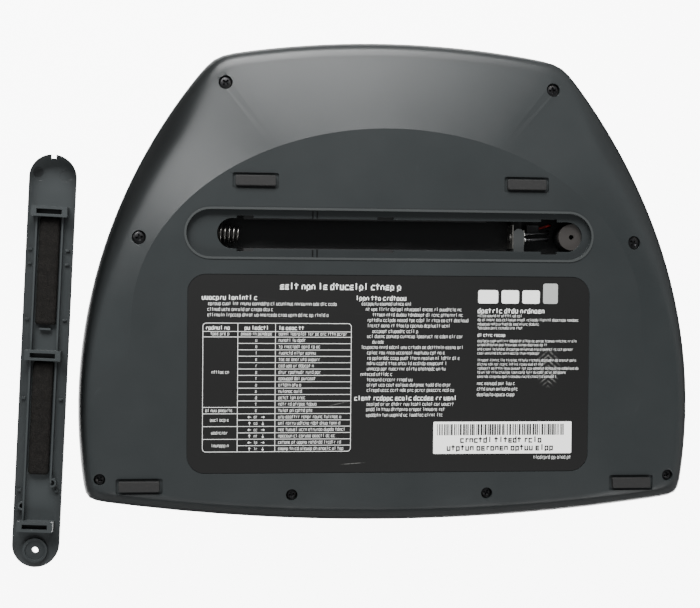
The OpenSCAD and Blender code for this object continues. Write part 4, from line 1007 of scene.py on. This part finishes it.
# Body, row, first and last key
keyBodies = [
    ("control_key", 0, 0, 0), ("option_key", 0, 1, 1), ("command_key", 0, 2, 2), ("modifier_key", 0, 4, 4),
    ("left_arrow_key", 0, 5, 5), ("up_arrow_key", 0, 6, 6), ("down_arrow_key", 0, 7, 7),
    ("right_arrow_key", 0, 8, 8), ("left_shift_key", 1, 0, 0), ("lower_left_letters", 1, 1, 5),
    ("lower_right_letters", 1, 6, 10), ("right_shift_key", 1, 11, 11), ("caps_lock_key", 2, 0, 0),
    ("home_left_letters", 2, 1, 5), ("home_right_letters", 2, 6, 11), ("enter_key", 2, 12, 12),
    ("tab_key", 3, 0, 0), ("upper_left_letters", 3, 1, 5), ("upper_right_letters", 3, 6, 12),
    ("backslash_key", 3, 13, 13), ("number_keys", 4, 0, 12), ("backspace_key", 4, 13, 13),
    ("power_key", 5, 0, 0), ("file_keys", 5, 1, 8), ("edit_keys", 5, 9, 13), ("send_key", 5, 14, 14),
]
arrows = {"<": 180, "^": 90, "_": 270, ">": 0}  # degrees that each arrow is turned
arrowOutline = [(-2, -0.35), (0.3, -0.35), (0.3, -1.4), (2.2, 0), (0.3, 1.4), (0.3, 0.35), (-2, 0.35)]
# What each key says; a bar parts the upper sign from the lower one
legends = [
    ["ctrl", "alt", "cmd", "", "alt", "arrow<", "arrow^", "arrow_", "arrow>"],
    ["shift", "Z", "X", "C", "V", "B", "N", "M", "<|,", ">|.", "?|/", "shift"],
    ["caps", "A", "S", "D", "F", "G", "H", "J", "K", "L", ":|;", "\"|'", "enter"],
    ["tab", "Q", "W", "E", "R", "T", "Y", "U", "I", "O", "P", "{|[", "}|]", "||\\"],
    ["~|`", "!|1", "@|2", "#|3", "$|4", "%|5", "^|6", "&|7", "*|8", "(|9", ")|0", "_|-", "+|=", "delete"],
    ["on off", "file 1", "file 2", "file 3", "file 4", "file 5", "file 6", "file 7", "file 8",
     "home", "end", "print", "find", "clear", "send"],
]


legendSize = {"function": 2.7, "word": 3.2, "pair": 3.6, "letter": 5.0, "thick": 0.04}
legendPlace = {"letter": (-2.9, 2.2), "upper": (-3.2, 2.9), "lower": (-3.2, -2.4), "twoLines": (1.3, -1.5),
               "wideKey": 26, "fromLeft": 9.5, "narrowKey": 20, "narrowHalf": 6.4, "sunk": -0.06,
               "raised": 0.05}


# A key's middle on the deck and its width
def keyPlace(row, i):
    k = keyboard
    x = (sum(keyRows[row][:i]) + keyRows[row][i] / 2 - k["units"] / 2) * k["pitch"]
    y = (row + 0.5) * k["pitch"]
    if row == functionRow:
        y = row * k["pitch"] + k["bar"] + k["functionDepth"] / 2
    return x, y, keyRows[row][i] * k["pitch"] - k["gap"]


# Height of a key's top over the deck, at x from the key's middle
def capHeight(row, i, x):
    k = keyboard
    top = k["functionTop"] if row == functionRow else k["top"]
    if keyRows[row][i] >= k["dished"]:
        return top
    half = keyPlace(row, i)[2] / 2 - k["taper"]
    bend = half * half / (2 * k["dish"]) + k["dish"] / 2
    return top - k["dish"] + bend - math.sqrt(bend * bend - x * x)


# Flat letters, as a mesh
def lettersMesh(text, size):
    font = bpy.data.curves.new("legend", "FONT")
    font.body = text
    font.size = size
    font.align_x = "CENTER"
    font.align_y = "CENTER"
    font.extrude = legendSize["thick"]
    font.resolution_u = 4
    holder = bpy.data.objects.new("legend", font)
    scene.collection.objects.link(holder)
    bpy.context.view_layer.update()
    mesh = bpy.data.meshes.new_from_object(holder.evaluated_get(bpy.context.evaluated_depsgraph_get()))
    bpy.data.objects.remove(holder)
    return mesh


def addLegend(shape, text, size, row, i, dx, dy):
    x, y, width = keyPlace(row, i)
    at = legendPlace
    mesh = lettersMesh(text, size)
    start = len(shape.verts)
    shape.from_mesh(mesh)
    bpy.data.meshes.remove(mesh)
    shape.verts.ensure_lookup_table()
    for vert in shape.verts[start:]:
        near = max(-at["narrowHalf"], min(at["narrowHalf"], vert.co.x + dx))
        vert.co.z += capHeight(row, i, near if width < at["narrowKey"] else 0)
        vert.co.x += x + dx
        vert.co.y += y + dy


def addArrowLegend(shape, row, i, degrees):
    x, y = keyPlace(row, i)[:2]
    c, s = math.cos(math.radians(degrees)), math.sin(math.radians(degrees))
    turned = [(p * c - q * s, p * s + q * c) for p, q in arrowOutline]
    addLoft(shape, [[(x + p, y + q, capHeight(row, i, p) + lift) for p, q in turned]
                    for lift in (legendPlace["sunk"], legendPlace["raised"])])


def buildLegends(row, first, last):
    size, at = legendSize, legendPlace

    def build(shape):
        for i in range(first, last + 1):
            text = legends[row][i]
            width = keyPlace(row, i)[2]
            if text.startswith("arrow"):
                addArrowLegend(shape, row, i, arrows[text[5:]])
            elif row == functionRow:
                for part, dy in zip(text.split(" "), at["twoLines"] if " " in text else (0,)):
                    addLegend(shape, part, size["function"], row, i, 0, dy)
            elif "|" in text[1:]:
                addLegend(shape, text[0], size["pair"], row, i, *at["upper"])
                addLegend(shape, text[2:], size["pair"], row, i, *at["lower"])
            elif len(text) == 1:
                addLegend(shape, text, size["letter"], row, i, *at["letter"])
            else:
                dx = 0 if width < at["wideKey"] else at["fromLeft"] - width / 2
                addLegend(shape, text, size["word"], row, i, dx, at["letter"][1])
        bmesh.ops.remove_doubles(shape, verts=shape.verts, dist=0.001)
    return build


for body, row, first, last in keyBodies:
    newPiece("legend_" + body, body, "legend", buildLegends(row, first, last), deckSpace)
print("keys lettered")


# Spring contacts on the tongues of the two data sockets: a flat one with four, a square one with two a side
flatContacts = {"x": 27, "pitch": 2.5, "count": 4, "width": 1.0, "y": (113, 121.2), "z": (26.86, 27.0)}
squareContacts = {"x": (50.7, 52.3), "width": 1.0, "y": (112, 119.6), "sides": (26.96, 30.24), "half": 0.08}


def buildSocketContacts(shape):
    a = flatContacts
    for k in range(a["count"]):
        x = a["x"] + k * a["pitch"]
        addBar(shape, x, x + a["width"], *a["y"], *a["z"])
    b = squareContacts
    for side in b["sides"]:
        for x in b["x"]:
            addBar(shape, x, x + b["width"], *b["y"], side - b["half"], side + b["half"])


newPiece("socket_contacts", "device", "gold", buildSocketContacts)


# Makes a stage object of a finished shape
def newStage(name, shape, finish):
    mesh = bpy.data.meshes.new(name)
    shape.to_mesh(mesh)
    shape.free()
    mesh.materials.append(finish.material)
    made = bpy.data.objects.new(name, mesh)
    scene.collection.objects.link(made)
    return made


# Planes that show from one side only, to the camera only; heights and half sizes in metres
stagePlanes = {
    "floor": {"height": 0.0, "half": 6.0, "colour": (0.8, 0.8, 0.79), "roughness": 0.6, "glow": 0.5},
    "wall": {"height": 0.4, "half": 0.36, "colour": (0.8, 0.805, 0.8), "roughness": 0.8, "glow": 9},
}


def addStagePlane(name, shownFrom):
    p = stagePlanes[name]
    colour = p["colour"]
    shape = bmesh.new()
    corners = rectangle(-p["half"], p["half"], -p["half"], p["half"])
    if shownFrom == "below":
        corners.reverse()
    shape.faces.new([shape.verts.new((x, y, p["height"])) for x, y in corners])
    f = Finish(name, colour, p["roughness"], Emission_Color=(*colour, 1), Emission_Strength=p["glow"])
    f.paint(f.noise(300, 3, 0.6), colour, tone(colour, 0.97))
    back = f.node("ShaderNodeNewGeometry", output="Backfacing")
    clear = f.node("ShaderNodeBsdfTransparent")
    shown = f.node("ShaderNodeMixShader", {}, {0: back, 1: Field(f, f.shader.outputs[0]), 2: clear})
    f.tree.links.new(shown.socket, f.tree.nodes["Material Output"].inputs["Surface"])
    plane = newStage(name, shape, f)
    plane.visible_diffuse = False
    plane.visible_glossy = False
    plane.visible_transmission = False
    plane.visible_shadow = False


addStagePlane("floor", "above")
addStagePlane("wall", "below")

# The photograph's viewing angle; place in millimetres, turn in degrees
cameraView = {"place": (76.4, 0.4, -577.1), "turn": (-1.27, 174.594, -0.475), "lens": 58.4, "sensor": 36}
cameraData = bpy.data.cameras.new("camera")
cameraData.lens = cameraView["lens"]
cameraData.sensor_width = cameraView["sensor"]
camera = bpy.data.objects.new("camera", cameraData)
camera.location = devicePlace(*cameraView["place"])
camera.rotation_euler = [math.radians(a) for a in cameraView["turn"]]
scene.collection.objects.link(camera)
scene.camera = camera

# A card just under the floor, open beneath the two bodies, keeps the lower lamps off their sides,
# with a low fence between the device and the cover
lightCard = {"height": -0.5, "reach": 110, "margin": -4, "rear": 18, "rearFrom": 85, "rearOver": 25,
             "coverHalfW": 11.6, "coverHalfL": 103.5, "fenceHalfL": 91, "fenceTop": 5.6}
coverToDevice = deviceSpace.inverted() @ coverSpace


# The card's outer edge, the opening under the device and the one under the battery cover
def cardLoops():
    c = lightCard
    x0, y0 = ((cadBox[0] - deviceOrigin) / mm).xy
    x1, y1 = ((cadBox[1] - deviceOrigin) / mm).xy
    reach = c["reach"]
    edge = rectangle(x0 - reach, x1 + reach, y0 - reach, y1 + reach)
    points = [((v.co - deviceOrigin) / mm).xy for v in nodes["lower_housing"].data.vertices]
    body = []
    for i in convex_hull_2d(points):
        x, y = points[i] * (1 + c["margin"] / points[i].length)
        body.append((x, y + c["rear"] * max(0, min(1, (y - c["rearFrom"]) / c["rearOver"]))))
    outline = roundedOutline(2 * c["coverHalfW"], 2 * c["coverHalfL"], c["coverHalfW"] - 0.1)
    return [edge, body, [(coverToDevice @ Vector((x, y, 0))).xy for x, y in outline]]


def buildLightCard(shape):
    for loop in cardLoops():
        verts = [shape.verts.new((x, y, lightCard["height"])) for x, y in loop]
        for v, w in zip(verts, verts[1:] + verts[:1]):
            shape.edges.new((v, w))
    bmesh.ops.triangle_fill(shape, use_beauty=True, edges=shape.edges)
    c = lightCard
    ends = ((-c["fenceHalfL"], c["height"]), (c["fenceHalfL"], c["height"]),
            (c["fenceHalfL"], c["fenceTop"]), (-c["fenceHalfL"], c["fenceTop"]))
    shape.faces.new([shape.verts.new(coverToDevice @ Vector((-c["coverHalfW"], y, z))) for y, z in ends])


cardShape = bmesh.new()
buildLightCard(cardShape)
bmesh.ops.transform(cardShape, matrix=deviceSpace, verts=cardShape.verts)
cardFinish = Finish("light_card", (0.3, 0.3, 0.3), 0.8)
cardFinish.feed("Roughness", 0.75 + cardFinish.noise(60) * 0.1)
card = newStage("light_card", cardShape, cardFinish)
card.visible_camera = False

# Soft boxes: place and aim in millimetres, width and height in metres, watts
lightSetup = [
    ("below_key", (200, 780, -500), (0, 90, 0), 0.9, 0.45, 36),
    ("below_front", (-140, -820, -470), (0, -20, 0), 0.9, 0.45, 12),
    ("above_key", (-620, -620, 900), (0, 0, 0), 0.9, 0.9, 38),
    ("above_fill", (820, -300, 700), (0, 0, 0), 0.9, 0.9, 18),
    ("above_rear", (100, 900, 620), (0, 40, 0), 1.2, 0.6, 13),
]
# The card holds back the lower lamps only
onlyCard = bpy.data.collections.new("only_card")
onlyCard.objects.link(card)
onlyCard.collection_objects[0].light_linking.link_state = "EXCLUDE"
for name, place, aim, width, height, watts in lightSetup:
    data = bpy.data.lights.new(name, "AREA")
    data.shape = "RECTANGLE"
    data.size = width
    data.size_y = height
    data.energy = watts
    light = bpy.data.objects.new(name, data)
    light.location = devicePlace(*place)
    light.rotation_euler = (devicePlace(*aim) - light.location).to_track_quat("-Z", "Y").to_euler()
    light.visible_camera = False
    if name.startswith("above"):
        light.light_linking.blocker_collection = onlyCard
    scene.collection.objects.link(light)

# The studio's walls light the object dimly and show paler behind it
world = bpy.data.worlds.new("studio")
world.use_nodes = True
studio = world.node_tree
walls = studio.nodes["Background"]
walls.inputs["Color"].default_value = (0.86, 0.88, 0.9, 1)
walls.inputs["Strength"].default_value = 0.25
backdrop = studio.nodes.new("ShaderNodeBackground")
backdrop.inputs["Color"].default_value = (0.8, 0.81, 0.82, 1)
seen = studio.nodes.new("ShaderNodeLightPath")
choice = studio.nodes.new("ShaderNodeMixShader")
studio.links.new(seen.outputs["Is Camera Ray"], choice.inputs[0])
studio.links.new(walls.outputs[0], choice.inputs[1])
studio.links.new(backdrop.outputs[0], choice.inputs[2])
studio.links.new(choice.outputs[0], studio.nodes["World Output"].inputs["Surface"])
scene.world = world
print("stage, camera and light set")
